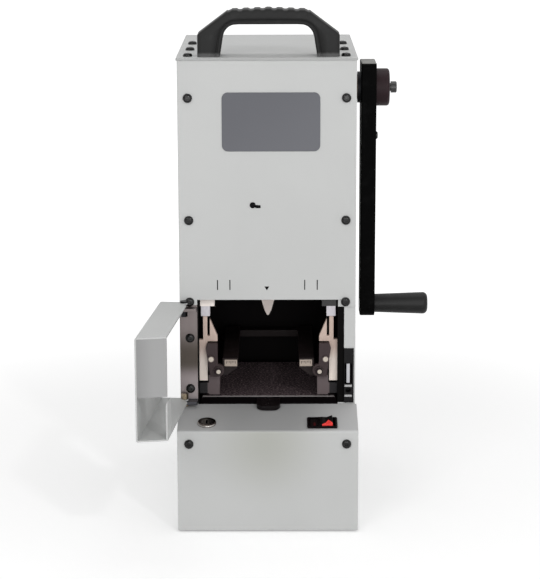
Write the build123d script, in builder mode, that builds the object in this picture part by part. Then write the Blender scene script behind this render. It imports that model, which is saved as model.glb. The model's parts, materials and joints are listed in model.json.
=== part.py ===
from build123d import *
from math import acos, atan2, cos, degrees, pi, radians, sin, sqrt, tan
import os

os.makedirs("parts", exist_ok=True)

# All sizes are in millimetres. X runs to the crank side, the front faces -Y and +Z is up.
# The cell takes a drive of this width, and the housing's width follows from the cell's.
drive_width = 101.6
drive_play = 0.5
cell_room = 18.8  # from the drive's side to the cell's side
cell_wall = 18.4  # from the cell's side to the outside of the housing
cell_half = drive_width / 2 + cell_room
cell_x = 0.6  # the cell stands a little to the crank side

# Housing
body_width = 2 * (cell_half + cell_wall)
body_depth = 240.0
body_top = 466.8
skirt_gap = 2.0
sheet = 1.5
face_gap = 0.1  # clearance between covers that lie beside each other
foot_height = 8.0
foot_radius = 12.0
foot_inset = 20.0
base_thickness = 4.0
top_thickness = 2.5
top_overhang = 1.2
flange_width = 16.0
panel_round = 0.6
front_y = -body_depth / 2
back_y = body_depth / 2
inner_x = body_width / 2 - sheet
base_top = foot_height + base_thickness
cover_top = body_top - top_thickness

# Screws with a button head
screw_radius = 2.5
screw_length = 3.4
head_radius = 4.6
head_height = 3.2
screw_clearance = 0.25
socket_radius = 1.7
socket_depth = 2.0
screw_inset = 10.1
screw_x = body_width / 2 - screw_inset
console_screw_z = 91.2
panel_screw_heights = (223.1, 305.9, body_top - 39.3)
hinge_screw_heights = (133.8, 186.1)
back_screw_heights = (24.0, 160.0, 300.0, body_top - 26.8)
top_screw_offsets = (16.0, 75.5, 136.5)

# Opening in the front and the cell behind it
opening_top = 225.2
opening_bottom = 118.4
seam_z = 219.8
right_seam_z = 217.7
frame_thickness = 6.35
frame_front = 3.5
frame_back = 190.0
frame_top = body_top - 11.8
tie_radius = 8.0
tie_offsets = (20.0, 180.0)
tie_heights = (260.0, body_top - 26.8)
bush_fit = 0.02
mount_play = 0.05
ceiling_thickness = 10.0
ceiling_front = 5.0
floor_thickness = 5.0
cell_back = 168.0

# Console under the opening
console_reach = 53.6
console_margin = 1.5
console_bend = 2.5
ledge_back_z = 117.4
ledge_front_z = 104.5
console_lap = 15.0
console_side_top = 100.0
ledge_angle = degrees(atan2(ledge_back_z - ledge_front_z, console_reach))
console_y = front_y - console_reach

# Carry handle
handle_x = 1.6
handle_front = 8.0
handle_depth = 30.0
handle_foot_half = body_width / 2 - 18.2
handle_leg = 22.0
handle_shoulder = 22.0
handle_top_half = handle_foot_half - 31.2
handle_height = 47.0
handle_grip = 15.4
handle_round = 4.0
ridge_count = 10
ridge_pitch = 7.3
ridge_radius = 4.5
ridge_depth = 1.1

# Guard door, a bent sheet channel on two vertical pins
door_lap = 12.8  # what the door is longer than the cell is wide
door_length = 2 * cell_half + door_lap
door_depth = 29.0
door_bottom = 122.9
door_top = 223.6
door_open_angle = 95.5
door_rim = 4.0
pin_inset = 4.5
pin_x = pin_inset - body_width / 2
pin_ahead = 6.0
pin_radius = 2.5
pin_head_radius = 3.6
pin_head_height = 1.8
pin_nut_height = 5.5
pin_play = 0.06
lug_thickness = 3.0
door_corner = 8.0
door_bend = 2.0
tab_height = 37.0
tab_length = 24.0
tab_corner = 5.0
hinge_width = 17.6
door_heel = 3.6
relief_length = 11.5
relief_depth = 1.6
lug_gap = 0.5
lug_half = 4.4
lug_corner = 2.0
lug_drop = 1.6

# Latch on the crank side of the opening
latch_top = 174.8
latch_front = 0.6
latch_depth = 18.4
latch_hole_z = 131.5
latch_hole_radius = 2.6
latch_clip_heights = (125.8, 136.2)
latch_clip_width = 7.4
latch_clip_height = 2.2
latch_clip_thickness = 0.8
pocket_depth = 9.0
roller_room = 0.3
roller_radius = 3.4
roller_length = 20.4
roller_z = 148.8
roller_inset = 7.0
roller_x = body_width / 2 - roller_inset
roller_behind = 5.0
roller_pin_radius = 1.2
roller_play = 0.05

# Crank
crank_axis_behind = 110.0
crank_axis_z = body_top - 41.8
crank_throw = 228.0
arm_gap = 8.0
arm_left = body_width / 2 + arm_gap
arm_thickness = 15.4
arm_width = 52.0
arm_foot_width = 36.0
arm_above = 26.8
arm_below = 11.0
arm_top_corner = 5.0
arm_foot_corner = 9.0
arm_edge = 0.8
washer_radius = 16.0
washer_thickness = 3.4
hub_radius = 19.2
hub_thickness = 14.0
hub_round = 3.0
stub_radius = 5.9
stub_length = 6.0
stub_chamfer = 0.8
neck_radius = 4.2
neck_length = 1.6
set_screw_radius = 3.9
set_screw_height = 2.6
set_screw_drop = 50.0
grip_length = 56.0
grip_radius = 9.6
grip_end_radius = 11.6
grip_end_round = 5.0
grip_start_round = 1.2
grip_cap = 4.0
spindle_radius = 5.0
spindle_play = 0.05
shaft_play = 0.04

# Gear train: the crank drives a countershaft, which drives the ram pinion
pressure_angle = 25.0
backlash = 0.16
first_module = 1.5
first_pinion_teeth = 14
first_gear_teeth = 56
second_module = 2.25
second_pinion_teeth = 12
second_gear_teeth = 48
rack_module = 4.0
rack_pinion_teeth = 12
rack_teeth_below = 2
rack_teeth_above = 6
first_face = 10.0
first_pinion_face = 12.0
second_pinion_face = 18.0
counter_hole_ring = 25.0
counter_hole_radius = 8.5
output_hole_ring = 32.0
output_hole_radius = 10.5
gear_hole_count = 6
second_face = 16.0
rack_face = 30.0
first_inset = 22.6
first_x = first_inset - cell_half
second_inset = 17.6
second_x = cell_half - second_inset
crank_shaft_radius = 7.0
crank_journal_radius = 9.0
counter_shaft_radius = 8.0
output_shaft_radius = 10.0
bush_wall = 3.0
bush_flange = 2.0
boss_clearance = 1.0
shaft_overhang = 3.55
shaft_end = cell_half + frame_thickness + shaft_overhang
journal_start = 30.0
counter_behind = 118.0

# Ram and wedge
ram_x = 0.0
ram_half = 20.0
ram_front_behind = 56.0
ram_back_behind = 84.0
ram_below = 43.8  # how far the ram reaches below its pinion
ram_length = 118.0
slide_play = 0.08
guide_wall = 12.0
guide_lip = 6.0
guide_top = crank_axis_z - 27.0
wedge_tip_z = 195.4
wedge_half = 11.0
wedge_length = 60.0
wedge_front_behind = 62.0
wedge_shank_z = 226.8
wedge_nose_half = 3.4
wedge_nose_z = 200.4
wedge_flat_half = 0.9
wedge_slot_play = 0.6

# Drive rests, as distances from the cell's centre and heights
drive_gap_half = drive_width / 2 + drive_play
guide_front = 10.0
guide_thickness = 6.0
rest_front = 4.0
rail_back = 150.0
rail_top = 162.6
rail_inner = cell_half - 38.6
rail_outer = cell_half - 23.4
rail_foot_inner = cell_half - 27.6
rail_foot_outer = cell_half - 9.4
rail_foot_height = 4.1
cross_bottom = 153.0
cross_height = 7.0
cross_width = 8.0
rest_shelf_z = 144.9
runner_inner = cell_half - 20.2
runner_outer = cell_half - 9.2
runner_bottom = 124.6
web_step = 1.4
web_height = 11.0
guide_bottom = 139.3
guide_inner = cell_half - 8.2
guide_shelf_z = 180.2
fin_foot_z = 185.7
fin_outer = cell_half - 10.7
fin_top_z = 203.5
guide_post_top = 206.6
post_outer = cell_half - 3.9
post_shoulder_z = 182.0
stop_front = 8.0
stop_length = 14.0
stop_z = 216.9
stop_inner = cell_half - 11.0
stop_outer = cell_half - 2.0
bar_inner = cell_half - 15.7
bar_outer = cell_half - 1.2
bracket_foot_inner = cell_half - 19.6
bracket_foot_outer = cell_half - 11.0
bracket_waist = cell_half - 6.6
bracket_waist_z = 174.0
bracket_top = 179.2
bracket_inner = cell_half - 18.5
lobe_radius = 6.4
bolt_h = cell_half - 18.7
bolt_z = 151.3
bolt_head_radius = 4.2
bolt_head_height = 3.2
pin_h = cell_half - 12.0
pin_z = 163.3
rest_pin_radius = 3.2
rest_pin_height = 2.2
fastener_radius = 2.5
tag_h = cell_half - 31.7
tag_z = 157.7
tag_width = 12.6
tag_height = 6.7
tag_thickness = 0.8

# Tray under the rests
tray_bottom = 118.2
tray_lip_top = 123.7
tray_half = cell_half - 1.2
tray_sheet = 1.5
tray_back = 150.0
mat_thickness = 3.4
pull_half = 12.0
pull_reach = 15.0
pull_thickness = 4.2
pull_gap = 0.8
pull_corner = 8.0

# Controls
lock_x = 27.5 - body_width / 2
lock_ahead = console_reach - 15.0
lock_ring_radius = 9.4
lock_barrel_radius = 7.8
lock_core_radius = 6.0
lock_ring_height = 2.0
lock_length = 22.0
lock_play = 0.06
key_slot_width = 1.6
key_slot_length = 7.6
switch_x = body_width / 2 - 33.9
switch_ahead = console_reach - 14.2
switch_width = 30.0
switch_height = 20.4
switch_flange = 1.0
switch_rim_height = 2.2
switch_depth = 18.0
bezel_corner = 1.6
bezel_edge = 0.7
well_depth = 9.0
rocker_half = 11.2
rocker_width = 15.2
rocker_tilt = 12.0
rocker_play = 0.4
rocker_pivot = 2.0
rocker_room = 1.3
rocker_crest = 3.2
rocker_valley = 1.2
rocker_hub = 5.5

# Label plate, lamp and the parts at the back
label_width = 96.7
label_height = 58.1
label_x = 3.9
label_z = body_top - 62.9
label_corner = 6.0
label_thickness = 0.8
lamp_x = -14.4
lamp_z = 321.1
lamp_radius = 3.0
lamp_height = 1.6
lamp_length = 8.0
lamp_step = 0.6
motor_radius = 27.0
motor_length = 2 * cell_half - 55.2
motor_behind = 164.0
motor_face_x = first_x + 17.0
motor_shaft_radius = 5.0
motor_round = 3.0
bracket_wall = 5.0
bracket_thickness = 4.0
inlet_x = -40.0
inlet_z = 60.0
inlet_width = 28.0
inlet_height = 20.0
inlet_flange = 3.0
inlet_rim = 2.0
inlet_depth = 22.0
inlet_wall = 2.0
inlet_corner = 4.0
blade_width = 2.0
blade_height = 4.0
blade_spread = 7.0
blade_drop = 2.5
vent_z = body_top - 106.8
vent_count = 7
vent_pitch = 9.0
vent_length = 60.0
vent_width = 3.5
board_x = 20.0
board_width = 90.0
board_height = 60.0
board_thickness = 1.6
standoff_radius = 3.0
standoff_height = 8.0
standoff_inset = 10.0
transformer_width = 32.0
transformer_length = 40.0
transformer_height = 28.0
relay_width = 14.0
relay_length = 11.0
relay_height = 15.0
relay_pitch = 16.0


def behind(distance):
    """Y of a point this far behind the front panel."""
    return front_y + distance


def ledge_plane(x, ahead):
    """Plane on the sloping ledge, its normal pointing out of it."""
    z = ledge_back_z - ahead * tan(radians(ledge_angle))
    normal = (0, -sin(radians(ledge_angle)), cos(radians(ledge_angle)))
    return Plane(origin=(x, front_y - ahead, z), x_dir=(1, 0, 0), z_dir=normal)


def involute(angle):
    """Involute of a pressure angle in radians."""
    return tan(angle) - angle


def gear_points(teeth, module, first_angle):
    """Root, base, middle and tip points of both flanks of every tooth, in order round the gear."""
    pitch = teeth * module / 2
    base = pitch * cos(radians(pressure_angle))
    root = pitch - 1.25 * module
    tip = pitch + module
    start = max(base, root)
    half_tooth = pi / (2 * teeth) - backlash / (2 * pitch) + involute(radians(pressure_angle))

    def flank(radius, centre, side):
        turn = half_tooth - involute(acos(min(1.0, base / radius)))
        return (radius * cos(centre + side * turn), radius * sin(centre + side * turn))

    middle = (start + tip) / 2
    result = []
    for tooth in range(teeth):
        centre = first_angle + 2 * pi * tooth / teeth
        turn = half_tooth - involute(acos(min(1.0, base / start)))
        roots = [(root * cos(centre + s * turn), root * sin(centre + s * turn)) for s in (-1, 1)]
        result.append((roots, [[flank(r, centre, s) for r in (start, middle, tip)] for s in (-1, 1)]))
    return result


def gear_outline(teeth, module, first_angle):
    """Draws a gear's outline in the current line context: arcs for flanks, lines for root and tip."""
    points = gear_points(teeth, module, first_angle)
    for index, (roots, (low, high)) in enumerate(points):
        next_roots = points[(index + 1) % teeth][0]
        if module * teeth / 2 * cos(radians(pressure_angle)) > teeth * module / 2 - 1.25 * module:
            Line(roots[0], low[0])
            Line(high[0], roots[1])
            Line(roots[1], next_roots[0])
        else:
            Line(high[0], points[(index + 1) % teeth][1][0][0])
        ThreePointArc(low[0], low[1], low[2])
        Line(low[2], high[2])
        ThreePointArc(high[2], high[1], high[0])


def mesh_angle(driver_teeth, driver_angle, driven_teeth, direction):
    """Angle of the driven gear's first tooth, in mesh with a driver along the line of centres."""
    phase = (direction - driver_angle) * driver_teeth / (2 * pi)
    return direction + pi - 2 * pi / driven_teeth * (0.5 - phase)


# Shaft places: the ram pinion sits behind the rack, the other shafts stand above it
first_centres = first_module * (first_pinion_teeth + first_gear_teeth) / 2
second_centres = second_module * (second_pinion_teeth + second_gear_teeth) / 2
rack_root_y = behind(ram_back_behind)
rack_pitch_y = rack_root_y + 1.25 * rack_module
output_y = rack_pitch_y + rack_module * rack_pinion_teeth / 2
crank_y = behind(crank_axis_behind)
counter_y = behind(counter_behind)
counter_z = crank_axis_z - sqrt(first_centres**2 - (counter_y - crank_y) ** 2)
output_z = counter_z - sqrt(second_centres**2 - (counter_y - output_y) ** 2)
ram_bottom = output_z - ram_below
motor_y = behind(motor_behind)
motor_z = counter_z + sqrt(first_centres**2 - (motor_y - counter_y) ** 2)

output_to_counter = atan2(counter_z - output_z, counter_y - output_y)
counter_to_crank = atan2(crank_axis_z - counter_z, crank_y - counter_y)
counter_to_motor = atan2(motor_z - counter_z, motor_y - counter_y)
second_gear_angle = output_to_counter
second_pinion_angle = mesh_angle(
    second_gear_teeth, second_gear_angle, second_pinion_teeth, output_to_counter
)
first_gear_angle = counter_to_crank
first_pinion_angle = mesh_angle(
    first_gear_teeth, first_gear_angle, first_pinion_teeth, counter_to_crank
)
motor_pinion_angle = mesh_angle(
    first_gear_teeth, first_gear_angle, first_pinion_teeth, counter_to_motor
)

cell_left = cell_x - cell_half
cell_right = cell_x + cell_half
boss_end = arm_left - washer_thickness - face_gap
frame_edge = cell_right + frame_thickness + face_gap
hinge_edge = hinge_width - body_width / 2
sides = (("left", -1), ("right", 1))
ceiling_bottom = opening_top + 2.3
ceiling_top = ceiling_bottom + ceiling_thickness
door_angle = radians(door_open_angle - 90)
hinge_y = front_y - pin_ahead


# Base plate with its rubber feet, one of them under the press column
with BuildPart() as base_plate:
    with BuildSketch(Plane.XY.offset(foot_height)):
        with Locations((0, (console_y + back_y) / 2)):
            RectangleRounded(2 * inner_x, back_y - console_y - 2 * sheet - 2 * face_gap, 2)
    extrude(amount=base_thickness)
base_plate.part.label = "base_plate"
export_step(base_plate.part, "parts/base_plate.step")

foot_x = inner_x - foot_inset
foot_ys = (console_y + foot_inset, back_y - foot_inset)
with BuildPart() as rubber_feet:
    with BuildSketch(Plane.XY.offset(foot_height)):
        with Locations((0, 0), *[(x, y) for x in (-foot_x, foot_x) for y in foot_ys]):
            Circle(foot_radius)
    extrude(amount=-foot_height, taper=8)
    fillet(rubber_feet.edges().group_by(Axis.Z)[0], foot_height / 10)
rubber_feet.part.label = "rubber_feet"
export_step(rubber_feet.part, "parts/rubber_feet.step")


# One button-head screw, its head towards -Y and its seat at the origin
with BuildPart() as screw:
    with BuildSketch(Plane.XZ):
        Circle(head_radius)
    extrude(amount=head_height)
    fillet(screw.edges().sort_by(Axis.Y)[0], head_height * 0.75)
    with BuildSketch(Plane.XZ.offset(head_height)):
        RegularPolygon(socket_radius, 6)
    extrude(amount=-socket_depth, mode=Mode.SUBTRACT)
    with BuildSketch(Plane.XZ):
        Circle(screw_radius)
    extrude(amount=-screw_length)

upright = (-90, 0, 0)
backward = (0, 0, 180)
with BuildPart() as panel_screws:
    for side, sign in sides:
        with Locations(*[(sign * screw_x, front_y, z) for z in panel_screw_heights]):
            add(screw.part)
        with Locations((sign * screw_x, console_y, console_screw_z)):
            add(screw.part)
        with Locations(*[(sign * screw_x, back_y, z) for z in back_screw_heights]):
            add(screw.part, rotation=backward)
    with Locations(*[(-screw_x, front_y, z) for z in hinge_screw_heights]):
        add(screw.part)
panel_screws.part.label = "panel_screws"
export_step(panel_screws.part, "parts/panel_screws.step")

with BuildPart() as top_screws:
    for side, sign in sides:
        with Locations(*[(sign * screw_x, behind(d), body_top) for d in top_screw_offsets]):
            add(screw.part, rotation=upright)
top_screws.part.label = "top_screws"
export_step(top_screws.part, "parts/top_screws.step")


# Side covers, bent inwards at the front, back and top
cover_front = front_y + sheet + face_gap
cover_back = back_y - sheet - face_gap
for side, sign in sides:
    outer = sign * body_width / 2
    inner = sign * inner_x
    lip = sign * (inner_x - flange_width)
    if side == "left":
        front_holes = panel_screw_heights + hinge_screw_heights
    else:
        front_holes = panel_screw_heights
    with BuildPart() as side_cover:
        with BuildSketch(Plane.XY.offset(skirt_gap)):
            with BuildLine():
                Polyline(
                    (outer, cover_front),
                    (outer, cover_back),
                    (lip, cover_back),
                    (lip, cover_back - sheet),
                    (inner, cover_back - sheet),
                    (inner, cover_front + sheet),
                    (lip, cover_front + sheet),
                    (lip, cover_front),
                    close=True,
                )
            make_face()
        extrude(amount=cover_top - skirt_gap)
        with BuildSketch(Plane.XY.offset(skirt_gap)):
            with Locations((sign * (inner_x - flange_width / 2), 0)):
                Rectangle(flange_width, body_depth)
        extrude(amount=base_top + face_gap - skirt_gap, mode=Mode.SUBTRACT)
        with BuildSketch(Plane.XY.offset(cover_top - sheet)):
            with Locations((sign * (inner_x - flange_width / 2), 0)):
                Rectangle(flange_width, cover_back - cover_front)
        extrude(amount=sheet)
        with BuildSketch(Plane.XZ.offset(-front_y)):
            with Locations(*[(sign * screw_x, z) for z in front_holes]):
                Circle(screw_radius + screw_clearance)
        extrude(amount=-2 * screw_length, mode=Mode.SUBTRACT)
        with BuildSketch(Plane.XZ.offset(-back_y)):
            with Locations(*[(sign * screw_x, z) for z in back_screw_heights]):
                Circle(screw_radius + screw_clearance)
        extrude(amount=2 * screw_length, mode=Mode.SUBTRACT)
        with BuildSketch(Plane.XY.offset(body_top)):
            with Locations(*[(sign * screw_x, behind(d)) for d in top_screw_offsets]):
                Circle(screw_radius + screw_clearance)
        extrude(amount=-screw_length - top_thickness, mode=Mode.SUBTRACT)
        if side == "right":
            # The flange clears the side frame's front edge, and the latch has a window in it
            with BuildSketch(Plane.XZ.offset(-front_y)):
                with Locations(((lip + frame_edge) / 2, (opening_bottom + right_seam_z) / 2)):
                    Rectangle(frame_edge - lip + face_gap, right_seam_z - opening_bottom)
                with Locations(((frame_edge + inner_x) / 2, (opening_bottom + latch_top) / 2)):
                    Rectangle(inner_x - frame_edge, latch_top - opening_bottom)
            extrude(amount=-4 * sheet, mode=Mode.SUBTRACT)
            with BuildSketch(Plane.YZ.offset(inner_x)):
                with Locations((crank_y, crank_axis_z)):
                    Circle(crank_journal_radius + bush_wall + boss_clearance)
            extrude(amount=sheet, mode=Mode.SUBTRACT)
    side_cover.part.label = f"side_cover_{side}"
    export_step(side_cover.part, f"parts/side_cover_{side}.step")


# Front panel: its two ears reach down beside the opening
with BuildPart() as front_panel:
    with BuildSketch(Plane.XZ.offset(body_depth / 2)):
        with BuildLine():
            half = body_width / 2
            Polyline(
                (-half, seam_z),
                (hinge_edge, seam_z),
                (hinge_edge, opening_top),
                (frame_edge, opening_top),
                (frame_edge, right_seam_z),
                (half, right_seam_z),
                (half, cover_top),
                (-half, cover_top),
                close=True,
            )
        make_face()
        with Locations(*[(s * screw_x, z) for s in (-1, 1) for z in panel_screw_heights]):
            Circle(screw_radius + screw_clearance, mode=Mode.SUBTRACT)
        with Locations((lamp_x, lamp_z)):
            Circle(lamp_radius - lamp_step, mode=Mode.SUBTRACT)
    extrude(amount=-sheet)
    uprights = front_panel.edges().filter_by(Axis.Z).group_by(Axis.Y)[0].sort_by(Axis.X)
    fillet([uprights[0], uprights[-1]], panel_round)
front_panel.part.label = "front_panel"
export_step(front_panel.part, "parts/front_panel.step")


# Top plate
with BuildPart() as top_plate:
    with BuildSketch(Plane.XY.offset(cover_top)):
        Rectangle(body_width + 2 * top_overhang, body_depth + 2 * top_overhang)
        with Locations(*[(s * screw_x, behind(d)) for s in (-1, 1) for d in top_screw_offsets]):
            Circle(screw_radius + screw_clearance, mode=Mode.SUBTRACT)
    extrude(amount=top_thickness)
    fillet(top_plate.edges().filter_by(Axis.Z).filter_by(GeomType.LINE), 1.5)
    fillet(top_plate.faces().sort_by(Axis.Z)[-1].outer_wire().edges(), 0.8)
top_plate.part.label = "top_plate"
export_step(top_plate.part, "parts/top_plate.step")


# Back cover with air slots and the cut-out for the power inlet
with BuildPart() as back_cover:
    with BuildSketch(Plane.XZ.offset(-body_depth / 2)):
        with Locations((0, (skirt_gap + cover_top) / 2)):
            Rectangle(body_width, cover_top - skirt_gap)
        with Locations((0, vent_z)):
            with GridLocations(vent_length + 2 * vent_width, vent_pitch, 2, vent_count):
                SlotOverall(vent_length, vent_width, mode=Mode.SUBTRACT)
        with Locations((inlet_x, inlet_z)):
            Rectangle(inlet_width + 2 * face_gap, inlet_height + 2 * face_gap, mode=Mode.SUBTRACT)
        with Locations(*[(s * screw_x, z) for s in (-1, 1) for z in back_screw_heights]):
            Circle(screw_radius + screw_clearance, mode=Mode.SUBTRACT)
    extrude(amount=sheet)
back_cover.part.label = "back_cover"
export_step(back_cover.part, "parts/back_cover.step")

with BuildPart() as power_inlet:
    with BuildSketch(Plane.XZ.offset(-back_y)):
        with Locations((inlet_x, inlet_z)):
            RectangleRounded(inlet_width + 2 * inlet_flange, inlet_height + 2 * inlet_flange, inlet_wall)
    extrude(amount=-inlet_rim)
    with BuildSketch(Plane.XZ.offset(-back_y)):
        with Locations((inlet_x, inlet_z)):
            Rectangle(inlet_width, inlet_height)
    extrude(amount=inlet_depth)
    with BuildSketch(Plane.XZ.offset(-back_y - inlet_rim)) as socket:
        with Locations((inlet_x, inlet_z)):
            Rectangle(inlet_width - 2 * inlet_wall, inlet_height - 2 * inlet_wall)
        chamfer(socket.vertices().group_by(Axis.Y)[-1], inlet_corner)
    extrude(amount=inlet_rim + inlet_depth - inlet_wall, mode=Mode.SUBTRACT)
    with BuildSketch(Plane.XZ.offset(inlet_depth - inlet_wall - back_y)):
        with Locations((inlet_x, inlet_z)):
            with Locations((-blade_spread, -blade_drop), (0, blade_drop), (blade_spread, -blade_drop)):
                Rectangle(blade_width, blade_height)
    extrude(amount=inlet_wall + inlet_rim - inlet_depth)
power_inlet.part.label = "power_inlet"
export_step(power_inlet.part, "parts/power_inlet.step")


# Console cover: a bent sheet with a sloping ledge, lapped outside the side covers
console_half = body_width / 2 + console_margin
switch_body_width = switch_width - 2 * switch_flange
switch_body_height = switch_height - 2 * switch_flange
slope = tan(radians(ledge_angle))
drop = sheet / cos(radians(ledge_angle))
with BuildPart() as console_cover:
    with BuildSketch(Plane.YZ.offset(-console_half)):
        with BuildLine():
            Polyline(
                (front_y, ledge_back_z),
                (console_y, ledge_front_z),
                (console_y, skirt_gap),
                (front_y + console_lap, skirt_gap),
                (front_y + console_lap, console_side_top),
                close=True,
            )
        make_face()
    extrude(amount=2 * console_half)
    bend = console_cover.edges().filter_by(Axis.X).group_by(Axis.Y)[0].sort_by(Axis.Z)[-1]
    fillet(bend, console_bend)
    with BuildSketch(Plane.YZ.offset(-body_width / 2)):
        with BuildLine():
            Polyline(
                (front_y, body_top),
                (front_y, ledge_back_z - drop),
                (console_y + sheet, ledge_back_z - drop - slope * (console_reach - sheet)),
                (console_y + sheet, 0),
                (0, 0),
                (0, body_top),
                close=True,
            )
        make_face()
    extrude(amount=body_width, mode=Mode.SUBTRACT)
    with BuildSketch(Plane.XZ.offset(-console_y)):
        with Locations((-screw_x, console_screw_z), (screw_x, console_screw_z)):
            Circle(screw_radius + screw_clearance)
    extrude(amount=-2 * sheet, mode=Mode.SUBTRACT)
    with BuildSketch(ledge_plane(lock_x, lock_ahead)):
        Circle(lock_barrel_radius + face_gap)
    extrude(amount=-2 * sheet, mode=Mode.SUBTRACT)
    with BuildSketch(ledge_plane(switch_x, switch_ahead)):
        Rectangle(switch_body_width + 2 * face_gap, switch_body_height + 2 * face_gap)
    extrude(amount=-2 * sheet, mode=Mode.SUBTRACT)
console_cover.part.label = "console_cover"
export_step(console_cover.part, "parts/console_cover.step")


# Carry handle: a moulded bridge with finger ridges
with BuildPart() as carry_handle:
    with BuildSketch(Plane.XZ.offset(-behind(handle_front))):
        with BuildLine():
            foot_left = handle_x - handle_foot_half
            foot_right = handle_x + handle_foot_half
            top_left = handle_x - handle_top_half
            top_right = handle_x + handle_top_half
            shoulder = body_top + handle_shoulder
            crown = body_top + handle_height
            Line((foot_left, body_top), (foot_left, shoulder))
            Line((foot_left, shoulder), (top_left, crown - 1.5))
            ThreePointArc((top_left, crown - 1.5), (handle_x, crown), (top_right, crown - 1.5))
            Line((top_right, crown - 1.5), (foot_right, shoulder))
            Line((foot_right, shoulder), (foot_right, body_top))
            Line((foot_right, body_top), (foot_right - handle_leg, body_top))
            under = crown - handle_grip
            Spline(
                (foot_right - handle_leg, body_top),
                (foot_right - handle_leg - 4.6, body_top + 19),
                (top_right - 5.5, under),
                tangents=((-0.12, 1), (-1, 0)),
            )
            Line((top_right - 5.5, under), (top_left + 5.5, under))
            Spline(
                (top_left + 5.5, under),
                (foot_left + handle_leg + 4.6, body_top + 19),
                (foot_left + handle_leg, body_top),
                tangents=((-1, 0), (-0.12, -1)),
            )
            Line((foot_left + handle_leg, body_top), (foot_left, body_top))
        make_face()
    extrude(amount=-handle_depth)
    rim = carry_handle.faces().filter_by(Axis.Y).edges()
    fillet(rim.filter_by(lambda e: e.center().Z > body_top + 0.1), handle_round)
    with BuildSketch(Plane.XZ.offset(-behind(handle_front))):
        with Locations((handle_x, crown + ridge_radius - ridge_depth)):
            with GridLocations(ridge_pitch, 1, ridge_count, 1):
                Circle(ridge_radius)
    extrude(amount=-handle_depth, mode=Mode.SUBTRACT)
carry_handle.part.label = "carry_handle"
export_step(carry_handle.part, "parts/carry_handle.step")


# Bare label plate and the ready lamp
with BuildPart() as label_plate:
    with BuildSketch(Plane.XZ.offset(body_depth / 2)):
        with Locations((label_x, label_z)):
            RectangleRounded(label_width, label_height, label_corner)
    extrude(amount=label_thickness)
    fillet(label_plate.faces().sort_by(Axis.Y)[0].edges(), label_thickness / 3)
label_plate.part.label = "label_plate"
export_step(label_plate.part, "parts/label_plate.step")

with BuildPart() as ready_lamp:
    with BuildSketch(Plane.XZ.offset(body_depth / 2)):
        with Locations((lamp_x, lamp_z)):
            Circle(lamp_radius)
    extrude(amount=lamp_height)
    fillet(ready_lamp.edges().sort_by(Axis.Y)[0], 0.9 * lamp_height)
    with BuildSketch(Plane.XZ.offset(body_depth / 2)):
        with Locations((lamp_x, lamp_z)):
            Circle(lamp_radius - lamp_step - face_gap)
    extrude(amount=-lamp_length)
ready_lamp.part.label = "ready_lamp"
export_step(ready_lamp.part, "parts/ready_lamp.step")


# Hinge plate with a lug bent forward at each end, and the shoulder screws that are the door's pins
lug_zs = (door_bottom - lug_gap - lug_thickness, seam_z - lug_thickness - lug_drop)
with BuildPart() as hinge_plate:
    with BuildSketch(Plane.XZ.offset(body_depth / 2)):
        with Locations(((hinge_edge - body_width / 2) / 2, (opening_bottom + seam_z) / 2)):
            Rectangle(body_width / 2 + hinge_edge, seam_z - opening_bottom - 2 * face_gap)
        with Locations(*[(-screw_x, z) for z in hinge_screw_heights]):
            Circle(screw_radius + screw_clearance, mode=Mode.SUBTRACT)
    extrude(amount=-sheet)
    for lug_z in lug_zs:
        with BuildSketch(Plane.XY.offset(lug_z)) as lug:
            with Locations((pin_x - lug_half, front_y)):
                Rectangle(
                    hinge_edge - pin_x + lug_half,
                    pin_ahead + lug_half,
                    align=(Align.MIN, Align.MAX),
                )
            front_corners = lug.vertices().group_by(Axis.Y)[0].sort_by(Axis.X)
            fillet(front_corners[0], lug_half - face_gap)
            fillet(lug.vertices().group_by(Axis.Y)[0].sort_by(Axis.X)[-1], lug_corner)
            with Locations((pin_x, hinge_y)):
                Circle(pin_radius + pin_play, mode=Mode.SUBTRACT)
        extrude(amount=lug_thickness)
hinge_plate.part.label = "hinge_plate"
export_step(hinge_plate.part, "parts/hinge_plate.step")

with BuildPart() as hinge_pins:
    low = lug_zs[0] - face_gap
    high = door_bottom + sheet + face_gap
    with BuildSketch(Plane.XY.offset(low - pin_head_height)):
        with Locations((pin_x, hinge_y)):
            Circle(pin_head_radius)
    extrude(amount=pin_head_height)
    with BuildSketch(Plane.XY.offset(low)):
        with Locations((pin_x, hinge_y)):
            Circle(pin_radius)
    extrude(amount=high - low)
    with BuildSketch(Plane.XY.offset(high)):
        with Locations((pin_x, hinge_y)):
            RegularPolygon(pin_head_radius, 6)
    extrude(amount=pin_nut_height)
    low = lug_zs[1] - face_gap
    high = door_top + face_gap
    with BuildSketch(Plane.XY.offset(low - pin_nut_height)):
        with Locations((pin_x, hinge_y)):
            RegularPolygon(pin_head_radius, 6)
    extrude(amount=pin_nut_height)
    with BuildSketch(Plane.XY.offset(low)):
        with Locations((pin_x, hinge_y)):
            Circle(pin_radius)
    extrude(amount=high - low)
    with BuildSketch(Plane.XY.offset(high)):
        with Locations((pin_x, hinge_y)):
            Circle(pin_head_radius)
    extrude(amount=pin_head_height)
hinge_pins.part.label = "hinge_pins"
export_step(hinge_pins.part, "parts/hinge_pins.step")


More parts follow.
